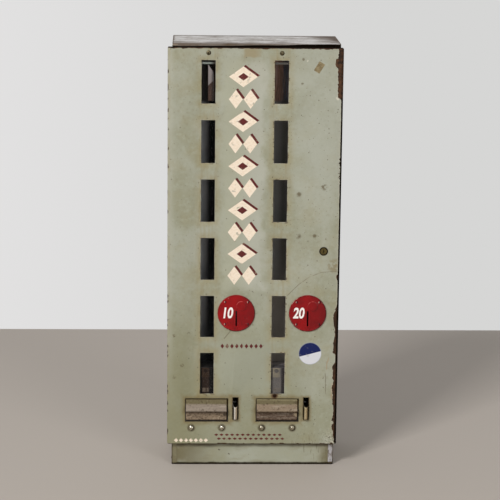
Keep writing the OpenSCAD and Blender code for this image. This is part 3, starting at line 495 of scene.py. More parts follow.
mottle = grain(place, 0.007, 4, 73)
clean = outside(x, z, (-0.024, 0.690), (0.046, 0.262)) + (patchy - 0.5) * 0.05
clean_colour = tint((169, 169, 148), (180, 180, 166), ease(x, -0.050, 0.012))
low_clean = outside(x, z, (-0.010, 0.235), (0.060, 0.060)) + (patchy - 0.5) * 0.08
halo = ease(window + (patchy - 0.5) * 0.030, 0.020, 0.000)
drip = ease(grain(place, 0.007, 4, 63, (1, 1, 9)), 0.45, 0.70) * ease(abs(across), 0.030, 0.010)
grime = ease(drawer + uneven * 0.016, 0.014, 0.0)
# Painted shade: a dark line round each drawer opening, where the gap falls into shadow; it fades at the top.
shaded_rim = ease(drawer + uneven * 0.0020, 0.0015, 0.0005) * (0.9 - ease(z, 0.1600, 0.1645) * 0.6)
bolt_off = spread(from_nearest(across, bolts_half), z - bolts_level)

tape_mark = outside(x, z, (-0.006, 0.971), (0.0185, 0.009)) + uneven * 0.012
tape_worn = 0.9 - ease(x, -0.004, 0.014) * 0.5
near = ease(window, 0.016, 0.0) * (0.5 + ease(x, -0.03, 0.0) * 0.5) + ease(x, 0.02, 0.16) * 0.3
mark = most(specks(flat, 0.021, 0.10 + near * 0.30, 0.0006, 0.0016),
            specks(flat, 0.0083, 0.04 + near * 0.22, 0.0003, 0.0010))
blot = round_place(x, z, (0.159, 0.666), 0.002, 0.010)
for at, radius in (((0.102, 0.649), 0.007), ((0.102, 0.551), 0.008), ((0.139, 0.552), 0.006),
                   ((0.107, 0.957), 0.004), ((0.106, 0.902), 0.004), ((-0.183, 0.315), 0.005),
                   ((-0.148, 0.320), 0.005), ((-0.164, 0.244), 0.006), ((-0.182, 0.216), 0.006)):
    blot = most(blot, round_place(x, z, at, 0.001, radius))
curl = x + uneven * 0.012
sweat = round_place(curl, z, (0.187, 0.482), 0.003, 0.021) * ease(grain(place, 0.009, 4, 79), 0.38, 0.58)
flaked = most(round_place(curl, z, (0.1860, 0.8690), 0.0024, 0.0050),
              round_place(curl, z, (0.117, 0.9536), 0.0008, 0.0028))
fly = ease(grain(place, 0.0035, 4, 64), 0.68, 0.74) * ease(grain(place, 0.08, 2, 65), 0.45, 0.6)
shaky = x + (grain(place, 0.016, 3, 74) - 0.5) * 0.008
thin_cuts = scratch(shaky, z, (0.172, 0.176), (0.169, 0.226), 0.0009)
for start, end, width in (((0.079, 0.412), (0.105, 0.438), 0.0007), ((0.105, 0.438), (0.128, 0.455), 0.0006),
                          ((0.128, 0.455), (0.156, 0.4665), 0.0006),
                          ((0.156, 0.4665), (0.193, 0.4695), 0.0005),
                          ((-0.066, 0.309), (-0.050, 0.329), 0.0009)):
    thin_cuts = most(thin_cuts, scratch(x, z, start, end, width))
peeled = most(scratch(shaky, z, (0.172, 0.236), (0.176, 0.262), 0.0014),
              scratch(shaky, z, (0.184, 0.165), (0.187, 0.200), 0.0020))
broken = ease(grain(place, 0.010, 3, 66), 0.30, 0.48)
cuts = most(thin_cuts, peeled) * broken
kicks = ease(grain(place, 0.0022, 3, 77, (1, 1, 6)), 0.55, 0.66) * ease(z, 0.092, 0.060) * ease(x, 0.05, 0.13)
scuffed = ease(x, 0.160, 0.186) * ease(z, 0.100, 0.066)
scuff = grain(place, 0.0034, 4, 78)
hole_at = (0.0522, 0.1712)
hole = round_place(shaky, z, hole_at, 0.0030, 0.0062)

# Painted highlight: a pale worn edge round each window, kept to its right side and its top and bottom edges.
rim_wear = ease(window, 0.0016, 0.0002) * (window > -0.004)
rim_highlight_side = most(ease(across, 0.012, 0.0155), ease(row, 0.047, 0.049) * 0.7)
rim_rust = ease(window + uneven * 0.005, 0.0010, 0.0) * ease(patchy, 0.42, 0.55)
ticks = ease(grain(place, 0.0042, 3, 76, (2.2, 1, 1)) + ease(x, -0.05, 0.02) * 0.05, 0.62, 0.67)
rim_rust = most(rim_rust, ticks * ease(window, 0.0042, 0.0012))

from_right, from_left = door_high.x - x, x - door_low.x
from_top, from_bottom = door_high.z - z, z - door_low.z
face = ease(y, -0.0870, -0.0905)
splinter = grain(place, 0.004, 4, 72)
wavy = z + uneven * 0.010
strip = ease(wavy, 0.866, 0.873) * 0.0080
strip = strip + (ease(wavy, 0.938, 0.941) - ease(wavy, 0.959, 0.961)) * 0.0055
nibble = ease(grain(place, 0.020, 4, 67, (1, 1, 1.3)), 0.40, 0.56) * 0.0034 + 0.0040
low_edge = ease(wavy, 0.395, 0.366) * (1 - ease(abs(wavy - 0.261), 0.016, 0.006) * 0.75)
notch = ease(abs(wavy - 0.455), 0.007, 0.002) * 0.0035
nicked = ease(abs(z - 0.705), 0.036, 0.020) * 0.026
reach = 0.0040 + strip + notch + nibble * low_edge * ease(z, 0.050, 0.085)
reach = reach + uneven * (strip * 0.5 + low_edge * 0.007 + 0.002)
reach = most(reach + (splinter - 0.5) * (0.0014 + nicked + strip * 0.55 + low_edge * 0.004), 0.0036)
right_chips = ease(from_right - reach, 0.0002, -0.0003) * face
left_nick = ease(grain(place, 0.010, 4, 68), 0.56, 0.62) * 0.0036 - 0.0012
left_nick = left_nick + ease(abs(z - 0.892), 0.012, 0.004) * 0.003
left_chips = ease(from_left - left_nick - (splinter - 0.5) * 0.004, 0.0004, -0.0002) * face * 0.9
top_chips = ease(from_top - 0.0010 - ease(ragged, 0.45, 0.70) * 0.0022, 0.0013, 0.0007)
bottom_chips = ease(from_bottom - 0.0006 - ease(ragged, 0.50, 0.7) * 0.0020, 0.0005, -0.0003) * face
chipped = most(right_chips, left_chips, top_chips, bottom_chips)
ochre_edge = ease(from_left, 0.0080, 0.0045) * ease(patchy, 0.40, 0.60)
lip = ease(from_right - reach, 0.0018, 0.0004) * face - chipped
scale = grain(place, 0.008, 4, 69)
rust_colour = tint((94, 63, 41), (48, 33, 22), ease(scale, 0.35, 0.65))
rust_colour = tint(rust_colour, (54, 33, 17), low_edge * 0.5)
# Painted shade: the chipped strip goes black along the door's right edge and its top edge.
shaded_edge = ease(from_right, 0.0060, 0.0034) * (1 - ease(wavy, 0.86, 0.88) * 0.6)
shaded_edge = most(shaded_edge, ease(z, 0.9816, 0.9824))
colour = coats(
    sage_coat(place),
    ((176, 177, 160), ease(mottle, 0.50, 0.70) * 0.30),
    ((128, 122, 96), ease(mottle, 0.46, 0.28) * 0.25),
    # Partly dirt and partly painted shade: darker and more olive towards the bottom and the lower left.
    ((140, 138, 108), ease(z, 0.50, 0.06) * (0.55 - ease(x, 0.06, 0.16) * 0.40)),
    ((128, 124, 88), ease(x, -0.10, -0.17) * ease(z, 0.48, 0.22) * 0.38),
    ((182, 181, 165), ease(x, -0.178, -0.197) * ease(z, 0.10, 0.40) * 0.5),
    ((172, 174, 162), ease(x, 0.070, 0.110) * ease(z, 0.55, 0.75) * 0.35),
    (clean_colour, ease(clean, 0.012, -0.010) * 0.75),
    ((158, 160, 142), ease(low_clean, 0.05, -0.04) * 0.6),
    ((150, 134, 88), halo * ease(patchy, 0.30, 0.65) * 0.55),
    ((142, 122, 76), drip * (z > 0.17) * 0.33),
    ((124, 106, 62), grime * 0.65),
    ((52, 39, 22), shaded_rim),
    ((124, 104, 62), ease(scoop + uneven * 0.010, 0.008, 0.0) * 0.6),
    ((84, 72, 48), ease(bolt_off, 0.0115 ** 2, 0.0068 ** 2) * 0.75),
    ((152, 141, 110), ease(tape_mark, 0.004, -0.002) * tape_worn),
    ((74, 60, 40), mark * 0.8),
    ((94, 81, 54), blot * ease(grain(place, 0.006, 4, 75), 0.40, 0.58) * 0.8),
    ((126, 110, 72), sweat * 0.7),
    ((212, 207, 190), flaked * 0.7),
    ((88, 76, 54), fly * 0.7),
    ((100, 88, 66), thin_cuts * broken * 0.65),
    ((160, 136, 104), peeled * broken * 0.6),
    ((116, 102, 72), kicks * 0.6),
    ((204, 196, 176), ease(scuff, 0.53, 0.60) * scuffed * 0.7),
    ((60, 47, 30), ease(scuff, 0.43, 0.37) * scuffed * 0.8),
    ((88, 58, 32), round_place(shaky, z, hole_at, 0.0050, 0.0105) * 0.9),
    ((46, 28, 16), hole),
    ((196, 192, 178), rim_wear * rim_highlight_side * 0.40),
    ((78, 58, 36), rim_rust * 0.75),
    ((148, 132, 86), ochre_edge * 0.25),
    ((196, 190, 170), lip * 0.5),
    (tint(rust_colour, (26, 18, 10), shaded_edge), chipped))
feed(door_finish, Base_Color=colour,
     Metallic=most(chipped * (0.35 + shaded_edge * 0.55), most(shaded_rim, hole) * 0.8),
     Roughness=0.40 + patchy * 0.16 + most(chipped, shaded_rim) * 0.35 + halo * 0.12,
     Normal=relief(grain(place, 0.06, 2, 70) * 0.9 + grain(place, 0.0022, 2, 71) * 0.05 - chipped * 0.28
                   - cuts * 0.10 - mark * 0.10, 0.0012))
door = softened("front_door", 0.0004, door_finish)
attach(door, "door")
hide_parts("front_door")


# The two magazines are folded from zinc-coated steel and hang from a screw behind each column of windows.
# Inside they are stained by age and tobacco dust; a cross strap shows in the top windows.
# Behind the windows light and shade are painted on: the left column pale on its left, paler higher up, and
# near black on its right; the right column lighter to its left, lower down and just above the follower.
magazine_finish, place = new_finish("dark_steel", Specular_IOR_Level=0.3)
x, y, z = axes(place)
across = from_nearest(x - columns_middle, columns_half)
rightward = ease(x, -0.03, -0.01)
flake = place.node("TexVoronoi", {}, {"Vector": place, "Scale": 110}, 1)
spangle = flake.node("SeparateColor", {}, {0: flake})
outer_colour = tint((134, 138, 138), (158, 161, 160), spangle)
outer_colour = tint(outer_colour, (110, 92, 70), ease(grain(place, 0.02, 5, 83), 0.60, 0.72) * 0.6)
# Painted light and shade: the left column's back is pale on its left, paler higher up, and near black on its
# right.
painted_light_share = ease(across, 0.005, -0.014) * (0.12 + ease(z, 0.27, 0.31) * 0.48 + ease(z, 0.28, 0.55) * 0.40)
left_colour = tint((10, 8, 5), (210, 213, 217), painted_light_share)
# Painted light: the right column's back is lighter to its left, lower down and most just above the follower,
# where shade falls.
right_colour = tint((112, 109, 102), (174, 174, 172), ease(across, 0.012, -0.010))
right_colour = tint(right_colour, (186, 178, 168), ease(z, 0.50, 0.38) * 0.8)
right_colour = tint(right_colour, (206, 199, 190), ease(z, 0.31, 0.27) * 0.85)
inner_colour = tint(left_colour, right_colour, rightward)
stain = ease(grain(place, 0.03, 4, 81, (1, 1, 3)) + ease(z, 0.84, 0.87) * 0.5, 0.60, 0.85)
rubs = grain(place, 0.004, 4, 84, (1, 1, 6))
top_right = tint((216, 170, 146), (112, 112, 128), ease(across + (rubs - 0.5) * 0.016, -0.001, 0.012))
streaks = ease(grain(place, 0.0026, 4, 85, (1, 1, 9)), 0.44, 0.66)
top_right = tint(top_right, (128, 94, 80), streaks * 0.55)
pale_line = ease(abs(across + 0.0088), 0.0022, 0.0008) * ease(z, 0.885, 0.90)
top_right = tint(top_right, (238, 202, 190), pale_line)
inner_colour = tint(inner_colour, tint((62, 43, 28), top_right, rightward), stain * 0.9)
strap = ease(z, 0.9430, 0.9434) * ease(z, 0.9502, 0.9498) * ease(y, -0.085, -0.087)
# Painted shade: the strap darkens towards its right.
strap_colour = tint((122, 127, 120), (58, 52, 44), ease(across, 0.002, 0.013))
inner_colour = tint(inner_colour, tint(strap_colour, (84, 80, 74), rightward), strap)
behind_windows = ease(y, -0.0281, -0.0287) * ease(abs(across), 0.0409, 0.0403) * ease(z, 0.9600, 0.9570)
colour = tint(outer_colour, inner_colour, behind_windows)
# The part painted black as shade is also made metallic, so that it shows no sheen.
painted_shade_area = behind_windows * (1 - rightward) * (1 - painted_light_share) * (1 - strap)
feed(magazine_finish, Base_Color=colour, Metallic=painted_shade_area * 0.85, Roughness=0.5 - strap * 0.1 + stain * 0.2,
     Normal=relief(grain(place, 0.003, 3, 82), 0.0001))
dress(magazine_finish, "magazine_left", "magazine_right", "magazine_frame_left", "magazine_frame_right")


# A clear strip lies behind each column of windows. It is thin plastic sheet, cut to length and glued.
# It is filmed with dust and barely shows.
strip_finish, place = new_finish("clear_strip", Base_Color=seen(40, 42, 43), Roughness=0.12)
film = ease(grain(place, 0.02, 4, 86, (1, 1, 3)), 0.35, 0.75)
feed(strip_finish, Alpha=0.03 + film * 0.06)
dress(strip_finish, "window_strip_left", "window_strip_right")


# The follower weights are rough castings that slide down on the packets.
# The left one has rusted brown and the right one has kept a grey skin.
# Light and shade are painted on them: dark strips down the plate's sides, a lightened top face that darkens
# to the right on the left one, a pale glint near the bottom of the plate and a darker dimple.
def casting(name, middle, pale, dark, pad, panel, shaded_flank, crown, low_glint, edge, gloom, seed):
    """A follower's finish, from its column, its colours, its plate's right edge and how dark it is, which
    sets its painted shade.
    """
    material, place = new_finish(name, Metallic=gloom * 0.65)
    x, y, z = axes(place)
    pits = grain(place, 0.004, 5, seed)
    stain = ease(grain(place, 0.02, 4, seed + 1), 0.35, 0.7)
    off = x - middle
    front = ease(y, -0.0860, -0.0864)
    raised = ease(y, -0.0868, -0.0872)
    plate = ease(off, edge, edge - 0.0050) * ease(off, -0.0112, -0.0088) * front
    # Painted shade: the dimple's floor is darker.
    dimple = round_place(x, z, (middle - 0.0026, 0.2293), 0.0048, 0.0051) * ease(y, -0.0872, -0.0868)
    lobes = 1 - ease(abs(off + 0.0012), 0.0022, 0.0006) * gloom
    # Painted highlight: a pale glint near the bottom of the plate, parted in the middle on the dark one.
    low_glint_band = ease(z + (pits - 0.5) * 0.004, 0.1895, 0.1870) * ease(z, 0.1775, 0.1795)
    # Painted light: the top face is lightened, most towards its back; on the dark one it darkens to the right
    # as shade.
    crown_colour = tint(crown, shaded_flank, ease(off, -0.006, 0.010) * gloom)
    crown_colour = tint(crown_colour, (212, 204, 203), ease(y, -0.072, -0.044) * (0.8 - gloom))
    colour = coats(
        tint(pale, dark, stain),
        # Painted shade: dark strips down the plate's sides.
        (shaded_flank, ease(off, edge - 0.0030, edge) * front),
        (shaded_flank, ease(off, -0.0088, -0.0112) * front * gloom),
        (panel, plate * 0.85),
        (low_glint, plate * lobes * low_glint_band),
        (tint(pad, panel, ease(off, 0.000, 0.006) * 0.6), raised * 0.9),
        (tint(panel, dark, 0.35 + pits * 0.3), dimple * 0.9),
        (crown_colour, ease(z, 0.2368, 0.2370)))
    feed(material, Base_Color=tint(colour, (34, 26, 20), ease(pits, 0.52, 0.8) * (0.3 + gloom * 0.4)),
         Roughness=0.6 + pits * 0.25, Normal=relief(pits, 0.0005))
    return material


rusty_finish = casting("rusty_casting", columns_middle - columns_half, pale=(46, 30, 21), dark=(28, 18, 13),
                       pad=(64, 46, 32), panel=(52, 37, 28), shaded_flank=(12, 8, 6), crown=(70, 65, 62),
                       low_glint=(112, 98, 84), edge=0.0072, gloom=0.8, seed=91)
grey_finish = casting("grey_casting", columns_middle + columns_half, pale=(104, 98, 94), dark=(84, 79, 76),
                      pad=(140, 131, 112), panel=(110, 105, 101), shaded_flank=(52, 45, 44), crown=(96, 91, 93),
                      low_glint=(112, 104, 96), edge=0.0098, gloom=0.15, seed=95)
dress(rusty_finish, "follower_left")
dress(grey_finish, "follower_right")


# The coin discs are pressed steel in glossy red enamel, held by four rivets painted over with them.
# The enamel is chipped along the rim and in small spots, and scuffed below the slot.
# Light and shade are painted on as well: darker towards the right, a shaded lower right on the rim, the
# boss's ridge and the rivets, a pale glint on the ridge and pale spots on three rivets.
discs_middle, discs_level = 0.04375, 0.3695
rivets_half, boss_at, boss_radius = 0.02635, (0.0113, 0.0168), 0.0111
disc_finish, place = new_finish("red_enamel", Specular_IOR_Level=0.26, Coat_Roughness=0.2)
x, _, z = axes(place)
disc_x, disc_z = from_nearest(x - discs_middle, columns_half), z - discs_level
out = spread(disc_x, disc_z)
cloud = ease(grain(place, 0.02, 4, 101), 0.3, 0.7)
scuff = ease(grain(place, 0.004, 5, 102, (1, 1, 2)), 0.58, 0.72) * ease(z, 0.375, 0.350)
boss_x, boss_z = disc_x - boss_at[0], disc_z - boss_at[1]
crease = ease(abs(spread(boss_x, boss_z) - boss_radius ** 2), 0.0000130, 0.0000030)
glint = ease(boss_z - boss_x, 0.004, 0.012) * ease(grain(place, 0.006, 3, 106), 0.35, 0.50)
rivet_side = from_nearest(disc_x, rivets_half)
rivet_out = spread(rivet_side, from_nearest(disc_z, rivets_half))
# Painted shade on the right side of each rivet.
rivet_shade = ease(rivet_out, 0.0042 ** 2, 0.0028 ** 2) * ease(rivet_side, -0.0012, 0.0008)
rim = ease(out, 0.0408 ** 2, 0.0424 ** 2)
rim_chip = ease(grain(place, 0.005, 4, 103) + ease(disc_x, 0.02, -0.03) * 0.05, 0.62, 0.66)
rim_chip = rim_chip * ease(out, 0.0416 ** 2, 0.0426 ** 2)
spot_chip = ease(grain(place, 0.004, 4, 104), 0.70, 0.73)
# Painted highlight: a pale spot on the left of three rivets' crowns.
crown_highlight = ease(rivet_out, 0.0024 ** 2, 0.0016 ** 2) * ease(rivet_side, 0.0005, -0.0007)
crown_highlight = crown_highlight * ease(disc_x - disc_z, 0.045, 0.030)
chips_and_highlights = most(rim_chip, spot_chip, crown_highlight)
colour = coats(
    tint((157, 6, 13), (133, 6, 12), cloud),
    # Painted shade: each disc is darker towards its right, the right disc a little more.
    ((96, 7, 13), ease(disc_x, -0.012, 0.040) * 0.5 + ease(x, 0.03, 0.06) * 0.18),
    ((84, 14, 16), scuff * 0.8),
    # Painted shade and highlight on the boss's ridge: darker on its lower right, a pale glint on its upper
    # left.
    ((70, 5, 10), crease * ease(boss_x - boss_z, -0.004, 0.010) * 0.8),
    ((206, 96, 92), crease * glint * 0.9),
    ((50, 5, 8), rivet_shade * 0.85),
    # Painted shade along the rim's right and lower side.
    ((58, 8, 12), rim * ease(disc_x - disc_z + (cloud - 0.5) * 0.06, -0.05, 0.02) * 0.85),
    ((214, 168, 154), chips_and_highlights * 0.7))
feed(disc_finish, Base_Color=colour, Roughness=0.32 + scuff * 0.25 + chips_and_highlights * 0.2,
     Coat_Weight=0.10 - chips_and_highlights * 0.10,
     Normal=relief(grain(place, 0.010, 3, 105) * 0.5 - chips_and_highlights * 0.4, 0.0004))
for side_name in ("left", "right"):
    disc = softened("coin_disc_" + side_name, 0.00025, disc_finish)
    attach(disc, "door")
    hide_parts("coin_disc_" + side_name)
dress(disc_finish, "disc_rivets")


# A plain column number stands on each disc, left of the slot.
# It is thick white enamel, brushed on by hand.
def hang(piece, name, at, material, first=Matrix.Identity(4)):
    """Stands a flat piece upright at its place, facing forwards, with its name and its finish."""
    upright = Matrix.Rotation(math.radians(90), 4, "X")
    piece.data.transform(Matrix.Translation(at) @ upright @ first)
    piece.name = name
    piece.data.materials.clear()
    piece.data.materials.append(material)


white_finish, place = new_finish("white_enamel", Specular_IOR_Level=0.4)
brush = grain(place, 0.002, 4, 113)
feed(white_finish, Base_Color=tint((252, 246, 240), (226, 208, 196), ease(brush, 0.50, 0.75)),
     Roughness=0.45 + brush * 0.1, Normal=relief(brush, 0.0001))
number_sunk, number_level = 0.00065, 0.3690
number_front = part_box("coin_disc_left")[0].y + number_sunk
narrow = Matrix.Diagonal((0.74, 1, 1, 1))
for number, middle in (("10", -0.0602), ("20", 0.1048)):
    bpy.ops.object.select_all(action="DESELECT")
    bpy.ops.object.text_add(location=(0, 0, 0))
    figure = bpy.context.object
    figure.data.body = number
    figure.data.align_x = "CENTER"
    figure.data.align_y = "CENTER"
    figure.data.size = 0.0345
    figure.data.shear = 0.16
    figure.data.offset = 0.0010
    figure.data.extrude = 0.00006
    bpy.ops.object.convert(target="MESH")
    hang(figure, "disc_number_" + number, (middle, number_front, number_level), white_finish, narrow)
    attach(figure, "door")


# Painted ornaments stand on the door: a column of lozenges between the windows and three small rows below.
# The column was brushed on in cream over a dark red block shade that stands out to the right and above.
# Each wide lozenge leaves its middle open, so the shade shows there as a dark red pip.
cream_finish, place = new_finish("cream_enamel", Specular_IOR_Level=0.4)
brush = grain(place, 0.003, 4, 111, (2, 1, 1))
rubbed = ease(grain(place, 0.010, 5, 112), 0.60, 0.68)
colour = tint((246, 230, 209), (236, 216, 190), ease(brush, 0.4, 0.7))
colour = tint(colour, (172, 166, 146), rubbed * 0.8)
feed(cream_finish, Base_Color=colour, Roughness=0.45 + rubbed * 0.2, Normal=relief(brush, 0.0001))
shade_finish, place = new_finish("dark_red_shade", Specular_IOR_Level=0.4)
worn = ease(grain(place, 0.008, 5, 121), 0.58, 0.68)
colour = tint((104, 30, 28), (78, 22, 21), grain(place, 0.01, 3, 122))
feed(shade_finish, Base_Color=tint(colour, (142, 126, 104), worn * 0.7), Roughness=0.5 + worn * 0.2,
     Normal=relief(grain(place, 0.004, 3, 123), 0.00008))


def lozenge(at, half, hole=0.0, shade=None):
    """A flat lozenge, with a lozenge hole in it or with the block shade that it throws."""
    bpy.ops.object.select_all(action="DESELECT")
    bpy.ops.mesh.primitive_circle_add(vertices=4, radius=1, fill_type="NGON", location=(0, 0, 0))
    piece = bpy.context.object
    edit_all()
    bpy.ops.transform.resize(value=(half[0], half[1], 1))
    if hole:
        bpy.ops.mesh.inset(thickness=hole)
        bpy.ops.mesh.delete(type="FACE")
    if shade:
        bpy.ops.object.mode_set(mode="OBJECT")
        for part in (*piece.data.edges, *piece.data.polygons):
            part.select = False
        for vertex in piece.data.vertices:
            vertex.select = vertex.co.y > -half[1] * 0.5
        bpy.ops.object.mode_set(mode="EDIT")
        bpy.ops.mesh.select_mode(type="VERT")
        bpy.ops.mesh.extrude_edges_move(TRANSFORM_OT_translate={"value": (shade[0], shade[1], 0)})
        bpy.ops.mesh.select_all(action="SELECT")
        bpy.ops.mesh.dissolve_limited(angle_limit=math.radians(1))
    bpy.ops.mesh.select_all(action="SELECT")
    bpy.ops.transform.translate(value=(at[0], at[1], 0))
    bpy.ops.object.mode_set(mode="OBJECT")
    return piece


def thicken(piece, thickness):
    """Gives a flat piece its thickness, towards its front."""
    body = piece.modifiers.new("body", "SOLIDIFY")
    body.thickness = thickness
    body.offset = 1
    bpy.ops.object.modifier_apply(modifier="body")


def paint_row(name, motif, thickness, material, count, step, at):
    """Repeats a flat motif by a step, as one thin coat of paint that starts at a place on the door."""
    coat = motif[0]
    bpy.ops.object.select_all(action="DESELECT")
    bpy.context.view_layer.objects.active = coat
    for piece in motif:
        piece.select_set(True)
    bpy.ops.object.join()
    row = coat.modifiers.new("row", "ARRAY")
    row.count = count
    row.use_relative_offset = False
    row.use_constant_offset = True
    row.constant_offset_displace = (step[0], step[1], 0)
    bpy.ops.object.modifier_apply(modifier="row")
    thicken(coat, thickness)
    hang(coat, name, (at[0], door_low.y, at[1]), material)
    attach(coat, "door")


thin, thick = 0.00008, 0.00014
for name, thickness, hole, shade, material in (
        ("ornament_shade", thin, 0.0, (0.0046, 0.0034), shade_finish),
        ("ornament_cream", thick, 0.0120, None, cream_finish)):
    wide = lozenge((0, 0), (0.0325, 0.0235), hole, shade)
    small = [lozenge((side, -0.051), (0.0158, 0.0215), 0.0, shade) for side in (-0.0167, 0.0167)]
    paint_row(name, [wide, *small], thickness, material, count=5, step=(0, -0.102), at=(-0.0275, 0.9170))
upright = [lozenge((0, 0), (0.0042, 0.0058))]
paint_row("red_row", upright, thin, shade_finish, count=9, step=(0.0112, 0), at=(-0.0705, 0.2905))
staggered = [lozenge(at, (0.0050, 0.0030)) for at in ((0, 0), (0.0062, -0.0095))]
paint_row("red_border", staggered, thin, shade_finish, count=13, step=(0.0124, 0), at=(-0.0830, 0.0760))
square = [lozenge((0, 0), (0.0050, 0.0048))]
paint_row("cream_row", square, thin, cream_finish, count=7, step=(0.0116, 0), at=(-0.1770, 0.0625))


# The drawer fronts are folded zinc-plated sheet: a flat band, a hooded pull and a recessed lower face.
# Each is riveted to its tray, and the rivets have taken its colour.
# Hands have worn the hood grey and bright, and the rest has gone olive-brown.
# Shade is painted on too: a shadow under the hood's lip, dark lines along the edges where the gap falls into
# shadow, and under the hood's right end a shadow on the left front and a pool of light on the right one.
def drawer_metal(name, seed, middle, hood, low, crest, hood_end_lighting):
    """A drawer front's finish, from its column's middle, its own colours and the colour of the painted shade
    and light under its hood's right end.
    """
    material, place = new_finish(name, Specular_IOR_Level=0.4)
    x, y, z = axes(place)
    rub = grain(place, 0.006, 5, seed, (8, 1, 1))
    spot = ease(grain(place, 0.006, 5, seed + 1), 0.55, 0.68)
    pepper = ease(grain(place, 0.0022, 3, seed + 2), 0.52, 0.70)
    band = ease(z + (rub - 0.5) * 0.004, 0.1480, 0.1530)
    under = ease(z, 0.1340, 0.1325)
    crust = grain(place, 0.0032, 4, seed + 3, (1.5, 1, 1))
    lip = ease(z, 0.1385, 0.1365) * ease(y, -0.1000, -0.1050)
    # Painted shadow under the hood's lip.
    lip_shadow = ease(abs(z - 0.1330), 0.0060, 0.0015) * ease(y, -0.0975, -0.0945)
    # Painted shade: dark lines along the top, bottom and sides, where the gap falls into shadow.
    edges = most(ease(z, 0.1150, 0.1120), ease(z, 0.1618, 0.1632), ease(abs(x - middle), 0.0478, 0.0486))
    grime_and_shade = most(lip * ease(spot + pepper, -0.6, 0.5), lip_shadow, edges) * 0.85
    colour = coats(
        tint(hood, low, under),
        ((117, 107, 77), band),
        ((180, 168, 150), ease(rub, 0.52, 0.72) * (1 - band) * 0.45),
        ((58, 44, 32), ease(crust, 0.50, 0.66) * (0.14 + under * 0.52)),
        ((196, 180, 156), ease(crust, 0.44, 0.30) * (0.12 + under * 0.38)),
        (crest, ease(z, 0.1600, 0.1610) * (0.2 + rub * 0.6)),
        # Painted under the hood's right end: a shadow on the left front, a pool of light on the right one.
        (hood_end_lighting, round_place(x, z, (middle + 0.0430, 0.1262), 0.0025, 0.0066) * 0.75),
        ((70, 54, 36), spot * 0.6),
        ((64, 50, 34), pepper * (0.35 + under * 0.25)),
        ((48, 33, 16), grime_and_shade))
    feed(material, Base_Color=colour, Metallic=0.35 + grime_and_shade * 0.5, Roughness=0.42 + spot * 0.2 + rub * 0.1,
         Normal=relief(rub * 0.3 - spot * 0.4 - pepper * 0.2, 0.0003))
    return material


left_metal = drawer_metal("drawer_metal_left", 131, columns_middle - columns_half, hood=(142, 128, 113),
                          low=(150, 131, 109), crest=(84, 72, 44), hood_end_lighting=(44, 32, 21))
right_metal = drawer_metal("drawer_metal_right", 135, columns_middle + columns_half, hood=(142, 123, 101),
                           low=(106, 86, 72), crest=(176, 166, 128), hood_end_lighting=(190, 172, 142))
for side_name, metal in (("left", left_metal), ("right", right_metal)):
    front = softened("drawer_front_" + side_name, 0.0004, metal)
    dress(metal, "drawer_rivets_" + side_name)
    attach(front, side_name + "_drawer")
    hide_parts("drawer_front_" + side_name)


# The coin return scoops are drawn from sheet and plated. The left one is still bright chrome.
# The right one has worn through to brass. Both are dark with dirt inside.
# Their round form is painted on: a bright line left of the middle is a painted reflection, with painted shade
# to its right, on both flanks and at the bottom.
def scoop_plating(name, bright, dull, seed, middle):
    """A scoop's finish, with a painted highlight along a line left of its middle and painted shade to the
    right of it.
    """
    material, place = new_finish(name)
    x, y, z = axes(place)
    worn = ease(grain(place, 0.005, 5, seed, (1, 1, 3)), 0.42, 0.66)
    inside = ease(y, -0.0935, -0.0920)
    off = x - middle
    # Painted shade on both flanks, and darker at the bottom.
    shaded_flank = most(ease(off, 0.0030, 0.0040), ease(off, -0.0026, -0.0036) * 0.95)
    colour = tint(bright, dull, most(worn * 0.6, ease(off, -0.0012, 0.0006)))
    colour = tint(colour, (34, 24, 11), most(shaded_flank * 0.94, ease(z, 0.1185, 0.1145) * 0.6))
    colour = tint(colour, (92, 76, 56), inside * 0.9)
    feed(material, Base_Color=colour, Metallic=0.7 + shaded_flank * 0.25,
         Roughness=0.20 + worn * 0.18 + inside * 0.4 + shaded_flank * 0.2,
         Normal=relief(grain(place, 0.002, 3, seed + 1), 0.00006))
    return material


dress(scoop_plating("bright_plating", (255, 250, 240), (180, 164, 140), 141, -0.03875), "coin_scoop_left")
dress(scoop_plating("brassy_plating", (220, 203, 162), (176, 156, 117), 143, 0.12555), "coin_scoop_right")


# The lock is a turned steel barrel, set in the door, with a brass plug that the key turns.
# Both have darkened, the barrel almost to black.
for name, seed, colours, roughness, node_name in (
        ("barrel_steel", 151, ((58, 50, 36), (30, 26, 18)), 0.42, "lock_case"),
        ("plug_brass", 153, ((114, 101, 62), (84, 73, 44)), 0.38, "lock_plug")):
    lock_finish, place = new_finish(name, Metallic=0.9)
    ring = ease(grain(place, 0.004, 4, seed), 0.4, 0.7)
    feed(lock_finish, Base_Color=tint(*colours, ring), Roughness=roughness + ring * 0.2)
    dress(lock_finish, node_name)


# A round sticker, dark blue above and white below, is stuck on the door below the right disc.
# It is glossy printed paper, rubbed grey in places, with a pale ring along its cut edge.
sticker_x, sticker_z, sticker_radius = 0.1334, 0.2733, 0.0262
sticker_finish, place = new_finish("sticker_paper", Specular_IOR_Level=0.25)
x, _, z = axes(place)
off_x, off_z = x - sticker_x, z - sticker_z
slant = off_z + 0.0011 - off_x * 0.267
colour = tint((216, 216, 220), (17, 29, 84), ease(slant, -0.0003, 0.0003))
ring = ease(spread(off_x, off_z), 0.0250 ** 2, 0.0256 ** 2)
colour = tint(colour, (168, 174, 190), ring * 0.6)
colour = tint(colour, (150, 150, 146), ease(grain(place, 0.008, 4, 161), 0.6, 0.75) * 0.4)
feed(sticker_finish, Base_Color=colour, Roughness=0.38 + grain(place, 0.01, 3, 162) * 0.15)
bpy.ops.object.select_all(action="DESELECT")
bpy.ops.mesh.primitive_circle_add(vertices=96, radius=sticker_radius, fill_type="NGON", location=(0, 0, 0))
sticker = bpy.context.object
edit_all()
bpy.ops.mesh.extrude_region_move(TRANSFORM_OT_translate={"value": (0, 0, 0.00018)})
